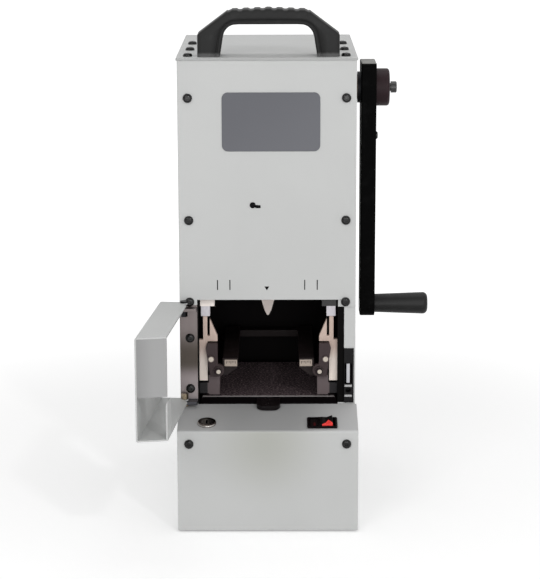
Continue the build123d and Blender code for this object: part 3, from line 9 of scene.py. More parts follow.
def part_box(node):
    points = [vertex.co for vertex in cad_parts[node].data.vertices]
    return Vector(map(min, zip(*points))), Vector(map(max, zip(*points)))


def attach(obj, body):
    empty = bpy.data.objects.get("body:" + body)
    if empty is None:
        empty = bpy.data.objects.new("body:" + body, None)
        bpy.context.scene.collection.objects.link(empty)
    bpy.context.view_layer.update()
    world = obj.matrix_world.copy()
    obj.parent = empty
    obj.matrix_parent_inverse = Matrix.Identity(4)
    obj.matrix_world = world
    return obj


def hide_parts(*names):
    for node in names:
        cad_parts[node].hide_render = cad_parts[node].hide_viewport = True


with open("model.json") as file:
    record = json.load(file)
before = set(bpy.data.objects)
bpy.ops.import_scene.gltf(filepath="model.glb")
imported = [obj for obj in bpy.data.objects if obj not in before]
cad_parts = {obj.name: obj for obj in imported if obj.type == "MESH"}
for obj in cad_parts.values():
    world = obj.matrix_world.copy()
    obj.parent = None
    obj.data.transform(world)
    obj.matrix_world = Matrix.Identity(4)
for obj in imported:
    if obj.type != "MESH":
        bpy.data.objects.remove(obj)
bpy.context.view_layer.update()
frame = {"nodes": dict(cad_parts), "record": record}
nodes = frame["nodes"]
mm = 0.001
perMetre = 1000.0
inFront, inPlan = (1, 0, 1), (1, 1, 0)  # weights that measure a distance across the front, or from above
alongX, alongZ = (0.02, 1, 1), (1, 1, 0.02)  # stretches that draw a pattern out along one axis
print("frame loaded,", len(nodes), "nodes")


# One output socket: sums, differences and products on it add Math nodes
class Wire:
    def __init__(self, socket):
        self.socket = socket

    def math(self, operation, other=None, swapped=False):
        tree = self.socket.id_data
        step = tree.nodes.new("ShaderNodeMath")
        step.operation = operation
        first, second = (1, 0) if swapped else (0, 1)
        tree.links.new(self.socket, step.inputs[first])
        if isinstance(other, Wire):
            tree.links.new(other.socket, step.inputs[second])
        elif other is not None:
            step.inputs[second].default_value = other
        return Wire(step.outputs[0])

    def __add__(self, other):
        return self.math("ADD", other)

    def __radd__(self, other):
        return self.math("ADD", other, True)

    def __sub__(self, other):
        return self.math("SUBTRACT", other)

    def __rsub__(self, other):
        return self.math("SUBTRACT", other, True)

    def __mul__(self, other):
        return self.math("MULTIPLY", other)

    def __rmul__(self, other):
        return self.math("MULTIPLY", other, True)


# One material: its Principled shader, the tone that feeds its base colour, and what shapes its surface
class Finish:
    def __init__(self, name, colour, roughness, metallic=0.0, coat=0.0, specular=0.5):
        self.material = bpy.data.materials.new(name)
        self.material.use_nodes = True
        self.material.diffuse_color = (*colour, 1.0)
        self.tree = self.material.node_tree
        self.shader = self.tree.nodes["Principled BSDF"]
        self.set("Base Color", (*colour, 1.0))
        self.set("Roughness", roughness)
        self.set("Metallic", metallic)
        self.set("Coat Weight", coat)
        self.set("Specular IOR Level", specular)
        self.place = self.node("ShaderNodeTexCoord", output="Object")
        self.tone = colour

    # any node: its type, its settings, the values or wires of its inputs, and which output to take
    def node(self, kind, settings=None, sockets=None, output=0):
        made = self.tree.nodes.new(kind)
        for key, value in (settings or {}).items():
            setattr(made, key, value)
        for key, value in (sockets or {}).items():
            self.feed(made.inputs[key], value)
        return Wire(made.outputs[output])

    def feed(self, socket, value):
        if isinstance(value, Wire):
            self.tree.links.new(value.socket, socket)
        else:
            socket.default_value = value

    def set(self, name, value):
        self.feed(self.shader.inputs[name], value)

    # noise between 0 and 1, its grain in millimetres, drawn out where stretch is small
    def noise(self, grain, detail=3.0, stretch=(1, 1, 1), rough=0.55):
        at = self.node("ShaderNodeMapping", sockets={"Vector": self.place, "Scale": stretch})
        sockets = {"Vector": at, "Scale": perMetre / grain, "Detail": detail, "Roughness": rough}
        return self.node("ShaderNodeTexNoise", sockets=sockets, output="Fac")

    # distance to the nearest of scattered points, their spacing in millimetres
    def cells(self, grain):
        sockets = {"Vector": self.place, "Scale": perMetre / grain}
        return self.node("ShaderNodeTexVoronoi", sockets=sockets, output="Distance")

    # a place on the piece along one axis, in millimetres
    def along(self, axis):
        return self.node("ShaderNodeSeparateXYZ", sockets={"Vector": self.place}, output=axis) * perMetre

    # distance in millimetres from a line through a point, along the axis that weights leaves out
    def reach(self, centre, weights):
        start = [c * mm for c in centre]
        offset = self.node("ShaderNodeVectorMath", {"operation": "SUBTRACT"}, {0: self.place, 1: start})
        flat = self.node("ShaderNodeVectorMath", {"operation": "MULTIPLY"}, {0: offset, 1: weights})
        return self.node("ShaderNodeVectorMath", {"operation": "LENGTH"}, {0: flat}, "Value") * perMetre

    # a smooth step of a value from one level to another
    def band(self, value, low, high, fromValue=0.0, toValue=1.0):
        return self.node(
            "ShaderNodeMapRange",
            {"interpolation_type": "SMOOTHSTEP"},
            {"Value": value, "From Min": low, "From Max": high, "To Min": fromValue, "To Max": toValue},
        )

    # a blend of two colours: inputs 6 and 7 and output 2 are the Mix node's colour sockets
    def mix(self, factor, first, second):
        def ready(value):
            return value if isinstance(value, Wire) else (*value, 1.0)
        sockets = {0: factor, 6: ready(first), 7: ready(second)}
        return self.node("ShaderNodeMix", {"data_type": "RGBA"}, sockets, 2)

    # lays a colour over the tone so far, by a factor
    def over(self, factor, colour):
        self.tone = self.mix(factor, self.tone, colour)
        self.set("Base Color", self.tone)
        return self

    # gloss that wavers: a noise times its spread, about a middle roughness
    def waver(self, noise, spread, roughness):
        self.set("Roughness", noise * spread + (roughness - spread / 2))

    # the surface: its edges rounded, then fine height over it, both in millimetres
    def relief(self, height, depth, edge=0.0):
        sockets = {"Height": height, "Distance": depth * mm, "Strength": 1.0}
        if edge:
            sockets["Normal"] = self.node("ShaderNodeBevel", {"samples": 6}, {"Radius": edge * mm})
        self.set("Normal", self.node("ShaderNodeBump", sockets=sockets))
        return self


# A colour as a screen shows it, 0 to 255, made linear by the screen's own curve
def tint(red, green, blue):
    level = np.array([red, green, blue]) / 255.0
    return tuple(np.where(level <= 0.04045, level / 12.92, ((level + 0.055) / 1.055) ** 2.4).tolist())


# A colour with each of its parts multiplied
def scaled(colour, amount):
    return tuple(c * amount for c in colour)


# A colour with the same amount added to each of its parts
def lifted(colour, amount):
    return tuple(c + amount for c in colour)


# The pale grey of the housing's covers
shell = tint(198, 199, 198)


# Powder coat: two grains of orange peel, a faint cloudy tone and slightly uneven gloss
coat = {"cloud": 90.0, "cloudBand": (0.3, 0.7), "cloudShare": 0.03, "gloss": 6.0, "glossSpread": 0.12,
        "peel": 0.9, "coarser": 3.1, "fineShare": 0.7, "depth": 0.03}


def powderCoat(name, colour, roughness=0.5, edge=0.5, specular=0.4):
    f = Finish(name, colour, roughness, specular=specular)
    f.over(f.band(f.noise(coat["cloud"]), *coat["cloudBand"]), scaled(colour, 1 - coat["cloudShare"]))
    f.waver(f.noise(coat["gloss"]), coat["glossSpread"], roughness)
    fine, coarse = f.noise(coat["peel"], 2.0), f.noise(coat["peel"] * coat["coarser"], 2.0)
    peel = fine * coat["fineShare"] + coarse * (1 - coat["fineShare"])
    return f.relief(peel, coat["depth"], edge)


# Brushed metal: long fine scratches along one axis, streaks of tone and of gloss
brush = {"scratch": 0.35, "scratchGloss": 0.2, "streak": 2.2, "streakGloss": 0.1, "depth": 0.02}


def brushedMetal(name, colour, roughness, stretch, edge=0.3, streakShare=0.12):
    f = Finish(name, colour, roughness, metallic=1.0)
    scratch = f.noise(brush["scratch"], 3.0, stretch)
    streak = f.noise(brush["streak"], 3.0, stretch)
    f.over(streak, scaled(colour, 1 - streakShare))
    gloss = scratch * brush["scratchGloss"] + streak * brush["streakGloss"]
    f.set("Roughness", gloss + (roughness - (brush["scratchGloss"] + brush["streakGloss"]) / 2))
    return f.relief(scratch, brush["depth"], edge)


# Moulded plastic: spark-eroded grain, a slight sheen and a few rubbed places, paler and shinier
rub = {"size": 14.0, "band": (0.5, 0.75), "paler": 1.1, "lift": 0.002, "shine": -0.1, "grainGloss": 0.08}


def mouldedPlastic(name, colour, roughness=0.42, edge=0.4, specular=0.3, varnish=0.0, grain=0.5, depth=0.02):
    f = Finish(name, colour, roughness, coat=varnish, specular=specular)
    worn = f.band(f.noise(rub["size"], 4.0), *rub["band"])
    speck = f.noise(grain)
    f.over(worn, lifted(scaled(colour, rub["paler"]), rub["lift"]))
    f.set("Roughness", worn * rub["shine"] + (speck * rub["grainGloss"] + roughness))
    return f.relief(speck, depth, edge)


# Rubber: dull, finely pitted, a little pale dust
rubber = {"dust": 9.0, "dustBand": (0.52, 0.8), "gloss": 3.0, "glossSpread": 0.16,
          "pits": 0.4, "depth": 0.03, "edge": 0.5}


def softRubber(name, colour, roughness=0.7, dust=0.008):
    f = Finish(name, colour, roughness, specular=0.25)
    f.over(f.band(f.noise(rubber["dust"], 5.0), *rubber["dustBand"]), lifted(colour, dust))
    f.waver(f.noise(rubber["gloss"]), rubber["glossSpread"], roughness)
    return f.relief(f.noise(rubber["pits"]), rubber["depth"], rubber["edge"])


# Plated or ground metal: bright, with faint handling marks
bright = {"marks": 12.0, "markShade": 0.88, "smear": 5.0, "grain": 0.6, "depth": 0.008, "edge": 0.25}


def brightMetal(name, colour, roughness, smear=0.1):
    f = Finish(name, colour, roughness, metallic=1.0)
    f.over(f.noise(bright["marks"]), scaled(colour, bright["markShade"]))
    f.set("Roughness", f.noise(bright["smear"], 4.0) * smear + roughness)
    return f.relief(f.noise(bright["grain"]), bright["depth"], bright["edge"])


# Black oxide: a dark glossy skin that shows each lamp as a small spark
oxide = {"patch": 4.0, "shade": 0.6, "gloss": 2.5, "glossSpread": 0.08,
         "grain": 0.7, "depth": 0.006, "edge": 0.25}


def blackOxide(name, colour, roughness, specular=0.5):
    f = Finish(name, colour, roughness, specular=specular)
    f.over(f.noise(oxide["patch"]), scaled(colour, oxide["shade"]))
    f.waver(f.noise(oxide["gloss"]), oxide["glossSpread"], roughness)
    return f.relief(f.noise(oxide["grain"]), oxide["depth"], oxide["edge"])


# Open foam of the mat: dark pores between pale threads, deep relief, and a frayed pale line at its front
foam = {
    "base": tint(64, 54, 57),
    "thread": tint(150, 132, 134),
    "border": tint(176, 170, 170),
    "front": -115.9,
    "borderEnd": (9.0, 11.0),
    "fray": 6.0,
    "frayGrain": 4.0,
    "pores": 1.5,
    "fibre": 2.2,
    "threadBand": (0.5, 0.62),
    "depth": 0.9,
}


def foamMat(name):
    f = Finish(name, foam["base"], 0.95, specular=0.1)
    fibre = f.noise(foam["fibre"], 5.0, rough=0.75)
    f.over(f.band(fibre, *foam["threadBand"]), foam["thread"])
    depthIn = f.along("Y") + f.noise(foam["frayGrain"], 4.0) * foam["fray"]
    start, end = (foam["front"] + behind for behind in foam["borderEnd"])
    f.over(f.band(depthIn, start, end, 1.0, 0.0), foam["border"])
    return f.relief(f.cells(foam["pores"]) * 0.6 + fibre * 0.8, foam["depth"])


# Paint of the console, with painted light: painted shade makes its sloping ledge darker than its front,
# darkest in the middle, and a faint warm painted sheen lies on the front. The ledge is where the height less
# the slope times Y comes up to the plane's value.
ledge = {
    "slope": 12.9 / 53.6,
    "plane": 117.4 + 120.0 * 12.9 / 53.6,
    "below": (0.9, 0.5),
    "side": 88.0,
    "flat": 20.0,
    "left": tint(186, 186, 186),
    "middle": tint(161, 161, 161),
    "right": tint(194, 194, 194),
    "sheen": tint(176, 177, 171),
    "sheenAt": (-2.0, 0, 92.0),
    "sheenSize": 75.0,
}


def paintedLedgeShadeAndSheen(name):
    f = powderCoat(name, shell)
    plane = f.along("Z") + f.along("Y") * -ledge["slope"]
    on = f.band(plane, ledge["plane"] - ledge["below"][0], ledge["plane"] - ledge["below"][1])
    across = f.along("X")
    left = f.band(across, -ledge["side"], -ledge["flat"], 1.0, 0.0)
    right = f.band(across, ledge["flat"], ledge["side"])
    # painted shade across the ledge: lighter at both sides, darkest in the middle
    tone = f.mix(left, f.mix(right, ledge["middle"], ledge["right"]), ledge["left"])
    # painted sheen: a faint warm patch on the front
    f.over(f.band(f.reach(ledge["sheenAt"], inFront), ledge["sheenSize"], 0.0), ledge["sheen"])
    return f.over(on, tone)


# Paint of the top plate: painted shade makes its thin front edge darker than its face
topEdge = {"front": -121.2, "behind": (0.4, 0.1), "shade": 0.71}


def topPaintEdgeShade(name):
    f = powderCoat(name, shell)
    start, end = (topEdge["front"] + behind for behind in topEdge["behind"])
    # painted shade along the thin front edge
    return f.over(f.band(f.along("Y"), start, end), scaled(shell, topEdge["shade"]))


# Steel of the hinge plate: brushed, warmer and darker in the middle, dark at the lower lug. Each pair of
# heights says where a tone starts and where it is full.
hinge = {
    "steel": tint(118, 110, 109),
    "middle": tint(74, 68, 63),
    "middleTop": (200.0, 170.0),
    "middleFoot": (142.0, 162.0),
    "lower": tint(138, 130, 131),
    "lowerTop": (158.0, 140.0),
    "lowerShare": 0.8,
    "lug": tint(68, 68, 72),
    "lugTop": (123.5, 122.5),
}


def platePaint(name):
    f = brushedMetal(name, hinge["steel"], 0.42, alongZ, 0.6, 0.1)
    height = f.along("Z")
    f.over(f.band(height, *hinge["middleTop"]) * f.band(height, *hinge["middleFoot"]), hinge["middle"])
    f.over(f.band(height, *hinge["lowerTop"]) * hinge["lowerShare"], hinge["lower"])
    return f.over(f.band(height, *hinge["lugTop"]), hinge["lug"])


# Paint of the door's end wall: grey, the door's paint darkened as painted shade, darker still towards the
# door's skin
wallShadeTone = {"outer": tint(163, 163, 163), "skin": tint(148, 148, 148), "fade": (-121.5, -104.0)}


def endWallPaintedShade(name):
    f = powderCoat(name, wallShadeTone["outer"], 0.46, specular=0.3)
    # painted shade, deeper towards the door's skin
    return f.over(f.band(f.along("X"), *wallShadeTone["fade"], 1.0, 0.0), wallShadeTone["skin"])


# Crank arm: black enamel, with the bare ground end face on top
armTone = {"enamel": (0.0015, 0.0015, 0.0015), "dull": tint(124, 124, 121), "ground": tint(166, 166, 162),
           "bareFrom": (451.3, 451.6)}


def armEnamel(name):
    f = mouldedPlastic(name, armTone["enamel"], 0.42, 0.8, 0.02, grain=0.8, depth=0.01)
    ground = f.mix(f.noise(0.5, 3.0, (1, 0.05, 1)), armTone["dull"], armTone["ground"])
    return f.over(f.band(f.along("Z"), *armTone["bareFrom"]), ground)


# Side guides: warm beige, with painted light making them paler towards their lower ends
guideToneLitBelow = {"upper": tint(206, 184, 172), "lower": tint(245, 232, 222), "fade": (176.0, 158.0)}


def guidePlastic(name):
    f = mouldedPlastic(name, guideToneLitBelow["upper"], 0.5, 0.5)
    # painted light: paler towards the lower ends
    return f.over(f.band(f.along("Z"), *guideToneLitBelow["fade"]), guideToneLitBelow["lower"])


# Runners: brown, their outer flanks in black
runnerTone = {"brown": tint(100, 89, 90), "flank": tint(30, 28, 30), "centre": 0.6, "flankFrom": (61.4, 62.0)}


def runnerPlastic(name):
    f = mouldedPlastic(name, runnerTone["brown"], 0.5, 0.4, 0.2)
    away = (f.along("X") - runnerTone["centre"]).math("ABSOLUTE")
    return f.over(f.band(away, *runnerTone["flankFrom"]), runnerTone["flank"])


# Lock: chrome, its face painted black as a painted dark reflection, inside a bright outer rim that is a
# painted highlight
lockPaintedReflection = {"rim": tint(168, 164, 160), "face": tint(24, 20, 20), "centre": (-60.5, -157.0, 0),
            "edge": (8.7, 8.2)}


def lockMetal(name):
    f = brightMetal(name, lockPaintedReflection["rim"], 0.14)
    # painted dark reflection over the face, leaving the bright rim as a painted highlight
    return f.over(f.band(f.reach(lockPaintedReflection["centre"], inPlan), *lockPaintedReflection["edge"]), lockPaintedReflection["face"])


# Bolts of the rests: a bright middle, a little off centre, in a black ring on the large ones, and a thin
# dull ring round the bright middle of the small ones
bolts = {
    "bright": tint(168, 160, 150),
    "large": [(-50.3, 0, 151.3), (51.5, 0, 151.3)],
    "small": [(-57.0, 0, 163.3), (58.2, 0, 163.3)],
    "ring": tint(34, 28, 30),
    "ringStart": (1.9, 2.4),
    "ringEnd": (4.4, 4.0),
    "aside": 0.7,
    "thin": tint(92, 82, 80),
    "thinStart": (2.2, 2.7),
    "thinEnd": (3.6, 3.2),
}


def ringedBolts(name):
    f = brightMetal(name, bolts["bright"], 0.24)
    for centre in bolts["large"]:
        socket = (centre[0] + bolts["aside"], 0, centre[2] - bolts["aside"])
        dark = f.band(f.reach(socket, inFront), *bolts["ringStart"])
        f.over(dark * f.band(f.reach(centre, inFront), *bolts["ringEnd"]), bolts["ring"])
    for centre in bolts["small"]:
        away = f.reach(centre, inFront)
        f.over(f.band(away, *bolts["thinStart"]) * f.band(away, *bolts["thinEnd"]), bolts["thin"])
    return f


# Rocker: black, with a red wedge on the wall and the edge of its raised half, and a dim lens on the other.
# The wall is where Y plus the lean times the height is "at". The wedge reaches behind it by a depth that
# rises in a line from left to its tip and falls in a line to its right.
rockerTone = {
    "black": tint(14, 10, 11),
    "red": tint(255, 76, 72),
    "lean": 0.2407,
    "at": -141.3,
    "left": 53.8,
    "tip": 60.2,
    "right": 64.4,
    "deep": 9.0,
    "lens": tint(70, 14, 18),
    "lensAt": (46.5, 0, 108.0),
    "lensEdge": (1.5, 0.6),
}


def rockerPlastic(name):
    f = mouldedPlastic(name, rockerTone["black"], 0.3, 0.3, 0.15)
    across = f.along("X")
    behind = f.along("Y") + f.along("Z") * rockerTone["lean"] - rockerTone["at"]
    left, tip, right, deep = (rockerTone[key] for key in ("left", "tip", "right", "deep"))
    rising = (across - left) * (deep / (tip - left))
    falling = (right - across) * (deep / (right - tip))
    red = f.band(rising.math("MINIMUM", falling) - behind, -0.3, 0.3)
    f.over(f.band(f.reach(rockerTone["lensAt"], inFront), *rockerTone["lensEdge"]), rockerTone["lens"])
    return f.over(red, rockerTone["red"])


# Handle: black glass-filled plastic, its feet rubbed pale
handleTone = {"black": tint(33, 33, 33), "rubbed": tint(104, 104, 104), "fade": (472.8, 469.3), "share": 0.75}


def handlePlastic(name):
    f = mouldedPlastic(name, handleTone["black"], 0.45, 0.0, 0.16, grain=0.7)
    rubbed = f.band(f.along("Z") + f.noise(3.0) * 2.0, *handleTone["fade"])
    return f.over(rubbed * handleTone["share"], handleTone["rubbed"])


# Label plate: satin grey, a little lighter towards its lower right corner
labelTone = {"grey": tint(106, 107, 112), "lighter": tint(112, 113, 118), "corner": (-44.4, 432.9),
             "size": (96.7, 58.0), "slant": (0.3, 1.9), "grain": 0.25, "glossSpread": 0.12, "depth": 0.004}


def labelSatin(name):
    f = Finish(name, labelTone["grey"], 0.5, specular=0.1)
    corner, size = labelTone["corner"], labelTone["size"]
    slant = (f.along("X") - corner[0]) * (1.0 / size[0]) + (corner[1] - f.along("Z")) * (1.0 / size[1])
    f.over(f.band(slant, *labelTone["slant"]), labelTone["lighter"])
    grain = f.noise(labelTone["grain"], 2.0)
    f.waver(grain, labelTone["glossSpread"], 0.5)
    return f.relief(grain, labelTone["depth"], 0.2)


# Stop blocks: pale ground blocks under a bright bar, the bar on the crank side painted near black as painted
# shade
stopTone = {
    "block": tint(224, 220, 225),
    "streak": tint(190, 186, 192),
    "barLeft": tint(250, 240, 233),
    "barShade": tint(22, 21, 21),
    "seam": (216.7, 217.1),
    "split": (-1.0, 1.0),
    "streakGrain": 1.6,
    "gloss": 1.2,
    "glossSpread": 0.2,
    "grain": 1.1,
    "depth": 0.03,
}


def stopMetal(name):
    f = Finish(name, stopTone["block"], 0.42, specular=0.4)
    f.over(f.noise(stopTone["streakGrain"], 3.0, (1, 1, 0.3)), stopTone["streak"])
    # painted shade: the bar on the crank side is near black
    tone = f.mix(f.band(f.along("X"), *stopTone["split"]), stopTone["barLeft"], stopTone["barShade"])
    f.over(f.band(f.along("Z"), *stopTone["seam"]), tone)
    f.waver(f.noise(stopTone["gloss"]), stopTone["glossSpread"], 0.38)
    return f.relief(f.noise(stopTone["grain"]), stopTone["depth"], 0.4)


# Brass pin nuts: the lower one bare, the upper one blackened
pinTone = {"brass": tint(150, 136, 116), "black": tint(34, 34, 36), "between": (168.0, 172.0)}


def pinMetal(name):
    f = brightMetal(name, pinTone["brass"], 0.22, 0.2)
    return f.over(f.band(f.along("Z"), *pinTone["between"]), pinTone["black"])


finishes = {
    "shell_paint": powderCoat("shellPaint", shell),
    "hinge_steel": platePaint("hingeSteel"),
    "door_steel": powderCoat("doorPaint", tint(200, 201, 200), 0.46, specular=0.3),
    "pin_brass": pinMetal("pinBrass"),
    "screw_black": blackOxide("blackOxide", (0.002, 0.002, 0.002), 0.14, 0.3),
    "handle_black": handlePlastic("handleBlack"),
    "foot_rubber": softRubber("footRubber", tint(38, 38, 38)),
    "base_steel": powderCoat("basePaint", tint(46, 46, 48)),
    "label_grey": labelSatin("labelGrey"),
    "lamp_lens": mouldedPlastic("lampLens", (0.002, 0.002, 0.003), 0.15, specular=0.04),
    "frame_black": powderCoat("framePaint", tint(9, 8, 8), 0.42, specular=0.03),
    "cell_steel": powderCoat("cellPaint", tint(15, 12, 13), 0.6, specular=0.05),
    "guide_beige": guidePlastic("guideBeige"),
    "rail_brown": mouldedPlastic("railBrown", tint(34, 27, 27), 0.5, specular=0.12),
    "bracket_dark": powderCoat("bracketCoat", tint(62, 51, 52), 0.45, 0.6, 0.15),
    "fastener_steel": ringedBolts("fastenerSteel"),
    "tag_cream": mouldedPlastic("tagCream", tint(174, 160, 148), 0.35, 0.2),
    "tray_black": powderCoat("trayPaint", tint(12, 9, 10), 0.7, specular=0.0),
    "mat_foam": foamMat("matFoam"),
    "pull_black": mouldedPlastic("pullBlack", tint(13, 8, 9), 0.3, 0.6, 0.2),
    "latch_black": powderCoat("latchCoat", tint(14, 13, 15), 0.35, 0.4, 0.12),
    "roller_chrome": brightMetal("rollerChrome", tint(176, 176, 180), 0.14, 0.05),
    "clip_zinc": brightMetal("clipZinc", tint(150, 150, 150), 0.3),
    "crank_black": armEnamel("crankEnamel"),
    "washer_steel": brushedMetal("washerSteel", tint(38, 38, 40), 0.45, alongX),
    "hub_dark": mouldedPlastic("hubDark", tint(44, 31, 34), 0.42, 0.6, 0.12),
    "grip_rubber": softRubber("gripRubber", tint(14, 14, 14), 0.42, dust=0.002),
    "shaft_steel": brightMetal("shaftSteel", (0.55, 0.55, 0.56), 0.22),
    "gear_steel": brushedMetal("gearSteel", (0.40, 0.40, 0.40), 0.34, alongX),
    "bush_bronze": brightMetal("bushBronze", tint(92, 76, 62), 0.4),
    "ram_steel": brushedMetal("ramSteel", (0.42, 0.42, 0.43), 0.32, alongZ),
    # the wedge's coat is painted near white, painted light that lifts it out of the opening's shade
    "wedge_steel": powderCoat("wedgeCoatPaintedLight", tint(252, 238, 231), 0.42, 0.5),
    "guide_iron": powderCoat("guideIron", (0.10, 0.10, 0.105), 0.55),
    "motor_paint": powderCoat("motorPaint", (0.05, 0.05, 0.055), 0.4),
    "lock_chrome": lockMetal("lockChrome"),
    "core_brass": blackOxide("corePlate", (0.004, 0.004, 0.004), 0.16),
    "switch_black": mouldedPlastic("switchBlack", tint(10, 5, 7), 0.3, 0.4, 0.05),
    "rocker_red": rockerPlastic("rockerRed"),
    "inlet_black": mouldedPlastic("inletBlack", tint(22, 22, 22)),
    "board_green": mouldedPlastic("boardGreen", (0.02, 0.09, 0.04), 0.3, varnish=0.4),
}
# Nodes and pieces that wear something else than their slot's usual finish
ownFinish = {
    "console_cover": paintedLedgeShadeAndSheen("consolePaintedShadeAndSheen"),
    "top_plate": topPaintEdgeShade("topPaintEdgeShade"),
    "support_runners": runnerPlastic("runnerBrown"),
    "stop_blocks": stopMetal("stopMetal"),
    "crank_bolt": blackOxide("boltOxide", tint(40, 38, 40), 0.3),
    "door_end_wall": endWallPaintedShade("endWallPaintedShade"),
}
slotOf = {entry["node"]: entry["material_slot"] for entry in frame["record"]["subparts"]}
for nodeName, nodeObject in nodes.items():
    chosen = ownFinish.get(nodeName, finishes[slotOf[nodeName]])
    nodeObject.data.materials.clear()
    nodeObject.data.materials.append(chosen.material)
print("finishes on the carried-over nodes")


# A piece from points in metres and faces
def makePiece(name, points, faces, slot, body, smooth=True, replaced=()):
    mesh = bpy.data.meshes.new(name)
    mesh.from_pydata(np.asarray(points).reshape(-1, 3).tolist(), [], faces)
    mesh.update()
    mesh.polygons.foreach_set("use_smooth", np.full(len(mesh.polygons), smooth))
    mesh.materials.append(ownFinish.get(name, finishes[slot]).material)
    piece = bpy.data.objects.new(name, mesh)
    bpy.context.collection.objects.link(piece)
    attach(piece, body)
    if replaced:
        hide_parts(*replaced)
    return piece


# Faces of a grid of points: quads between neighbours, closed round the columns, an end face at each end
def ringFaces(rows, columns):
    row, column = np.meshgrid(np.arange(rows - 1), np.arange(columns), indexing="ij")
    following = (column + 1) % columns
    corners = [row * columns + column, row * columns + following,
               (row + 1) * columns + following, (row + 1) * columns + column]
    faces = np.stack(corners, axis=-1).reshape(-1, 4).tolist()
    faces.append(list(range(columns))[::-1])
    faces.append(list(range((rows - 1) * columns, rows * columns)))
    return faces


# A flat outline on a wall that faces forward: its points, in millimetres, on the wall and just before it
def decal(name, outline, wallY, slot, body, thickness=0.08):
    flat = np.asarray(outline, float)
    wall = np.column_stack([flat[:, 0], np.full(len(flat), wallY / mm), flat[:, 1]])
    points = np.concatenate([wall, wall - np.array([0, thickness, 0])]) * mm
    return makePiece(name, points, ringFaces(2, len(flat)), slot, body, False)


# Corners of an upright rectangle, from its lower left one
def bar(left, bottom, width, height):
    right, top = left + width, bottom + height
    return [(left, bottom), (right, bottom), (right, top), (left, top)]


# The carry handle: a section swept from foot to foot. At each station the outer and the inner outline give
# the two ends of the section; across it, steps in millimetres from each end shape a narrow rim with a
# groove along the inner edge and a broad rounding along the outer one, the same on front and back.
# An outline is a share of the way from the middle to the foot, with the reach and the height there.
handle = {
    "centre": 1.6,
    "front": -112.0,
    "back": -82.0,
    "outerAt": ((0.0, 0.40, 0.74, 1.0), (0.0, 38.6, 69.8, 69.8), (513.8, 512.2, 488.8, 466.8)),
    "innerAt": (
        (0.0, 0.36, 0.45, 0.52, 0.58, 0.64, 0.72, 1.0),
        (0.0, 29.0, 34.6, 38.2, 41.0, 43.2, 44.8, 47.8),
        (498.4, 498.4, 498.0, 496.6, 494.2, 491.0, 486.0, 466.8),
    ),
    "notchPitch": 11.1,
    "notchWidth": 2.6,
    "notchDepth": 1.2,
    "notchEnd": 40.5,
    "fromInner": (0.0, 0.25, 0.9, 2.0, 3.0, 3.4, 4.5, 4.9),
    "innerSunk": (2.0, 1.1, 0.35, 0.0, 0.0, 1.7, 1.7, 0.6),
    "fromOuter": (4.2, 2.6, 1.5, 0.6, 0.0),
    "outerSunk": (0.6, 0.7, 1.1, 2.0, 3.4),
    "stations": 481,
    "smoothings": 12,
}


def carryHandle():
    side = np.linspace(-1.0, 1.0, handle["stations"])
    away = np.abs(side)

    def outline(at):
        part, across, height = at
        reach = np.sign(side) * np.interp(away, part, across)
        line = np.stack([reach, np.interp(away, part, height)], axis=1)
        for _ in range(handle["smoothings"]):
            line[1:-1] = line[1:-1] * 0.5 + (line[:-2] + line[2:]) * 0.25
        return line

    outer, inner = outline(handle["outerAt"]), outline(handle["innerAt"])
    phase = outer[:, 0] / handle["notchPitch"] + 0.5
    offCentre = (phase - np.round(phase)) * handle["notchPitch"] / handle["notchWidth"]
    notch = np.exp(-offCentre ** 4) * (np.abs(outer[:, 0]) < handle["notchEnd"])
    outer[:, 1] -= handle["notchDepth"] * notch
    width = np.linalg.norm(outer - inner, axis=1)[:, None]
    fromInner, fromOuter = np.array(handle["fromInner"]), np.array(handle["fromOuter"])
    across = np.concatenate([np.tile(fromInner, (len(side), 1)), width / 2, width - fromOuter], axis=1)
    sunk = np.concatenate([handle["innerSunk"], handle["innerSunk"][-1:], handle["outerSunk"]])
    share = across / width
    face = inner[:, None, :] + (outer - inner)[:, None, :] * share[:, :, None]
    front = np.full(share.shape, handle["front"]) + sunk
    back = np.full(share.shape, handle["back"]) - sunk
    near = np.stack([face[..., 0] + handle["centre"], front, face[..., 1]], axis=-1)
    far = np.stack([face[..., 0] + handle["centre"], back, face[..., 1]], axis=-1)
    points = np.concatenate([far, near[:, ::-1]], axis=1) * mm
    faces = ringFaces(*points.shape[:2])
    return makePiece("moulded_handle", points, faces, "handle_black", "body", True, ("carry_handle",))


carryHandle()
print("carry handle")

# Marks printed on the front panel: four strokes, two for each width, and an arrow over the wedge
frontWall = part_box("front_panel")[0][1]
marks = {
    "strokeX": (-49.9, -37.5, 37.1, 49.6),
    "strokeBottom": 235.3,
    "strokeHeight": 10.2,
    "strokeWidth": 1.0,
    "arrowX": -0.7,
    "arrowTop": 238.8,
    "arrowHalf": 2.4,
    "arrowHeight": 4.0,
}
for index, strokeX in enumerate(marks["strokeX"]):
    left = strokeX - marks["strokeWidth"] / 2
    stroke = bar(left, marks["strokeBottom"], marks["strokeWidth"], marks["strokeHeight"])
    decal(f"width_stroke_{index + 1}", stroke, frontWall, "switch_black", "body")
arrow = [(marks["arrowX"], marks["arrowTop"] - marks["arrowHeight"]),
         (marks["arrowX"] + marks["arrowHalf"], marks["arrowTop"]),
         (marks["arrowX"] - marks["arrowHalf"], marks["arrowTop"])]
decal("wedge_arrow", arrow, frontWall, "switch_black", "body")

# The small pill beside the lamp: rings of a squared oval that shrink by the cosine of a lift and come
# forward by its sine, the first one on the panel
pill = {"centre": (-9.3, 319.7), "half": (2.8, 1.6), "height": 0.9, "square": 0.45, "top": 0.97,
        "sunk": 0.02, "rings": 9, "spokes": 36}


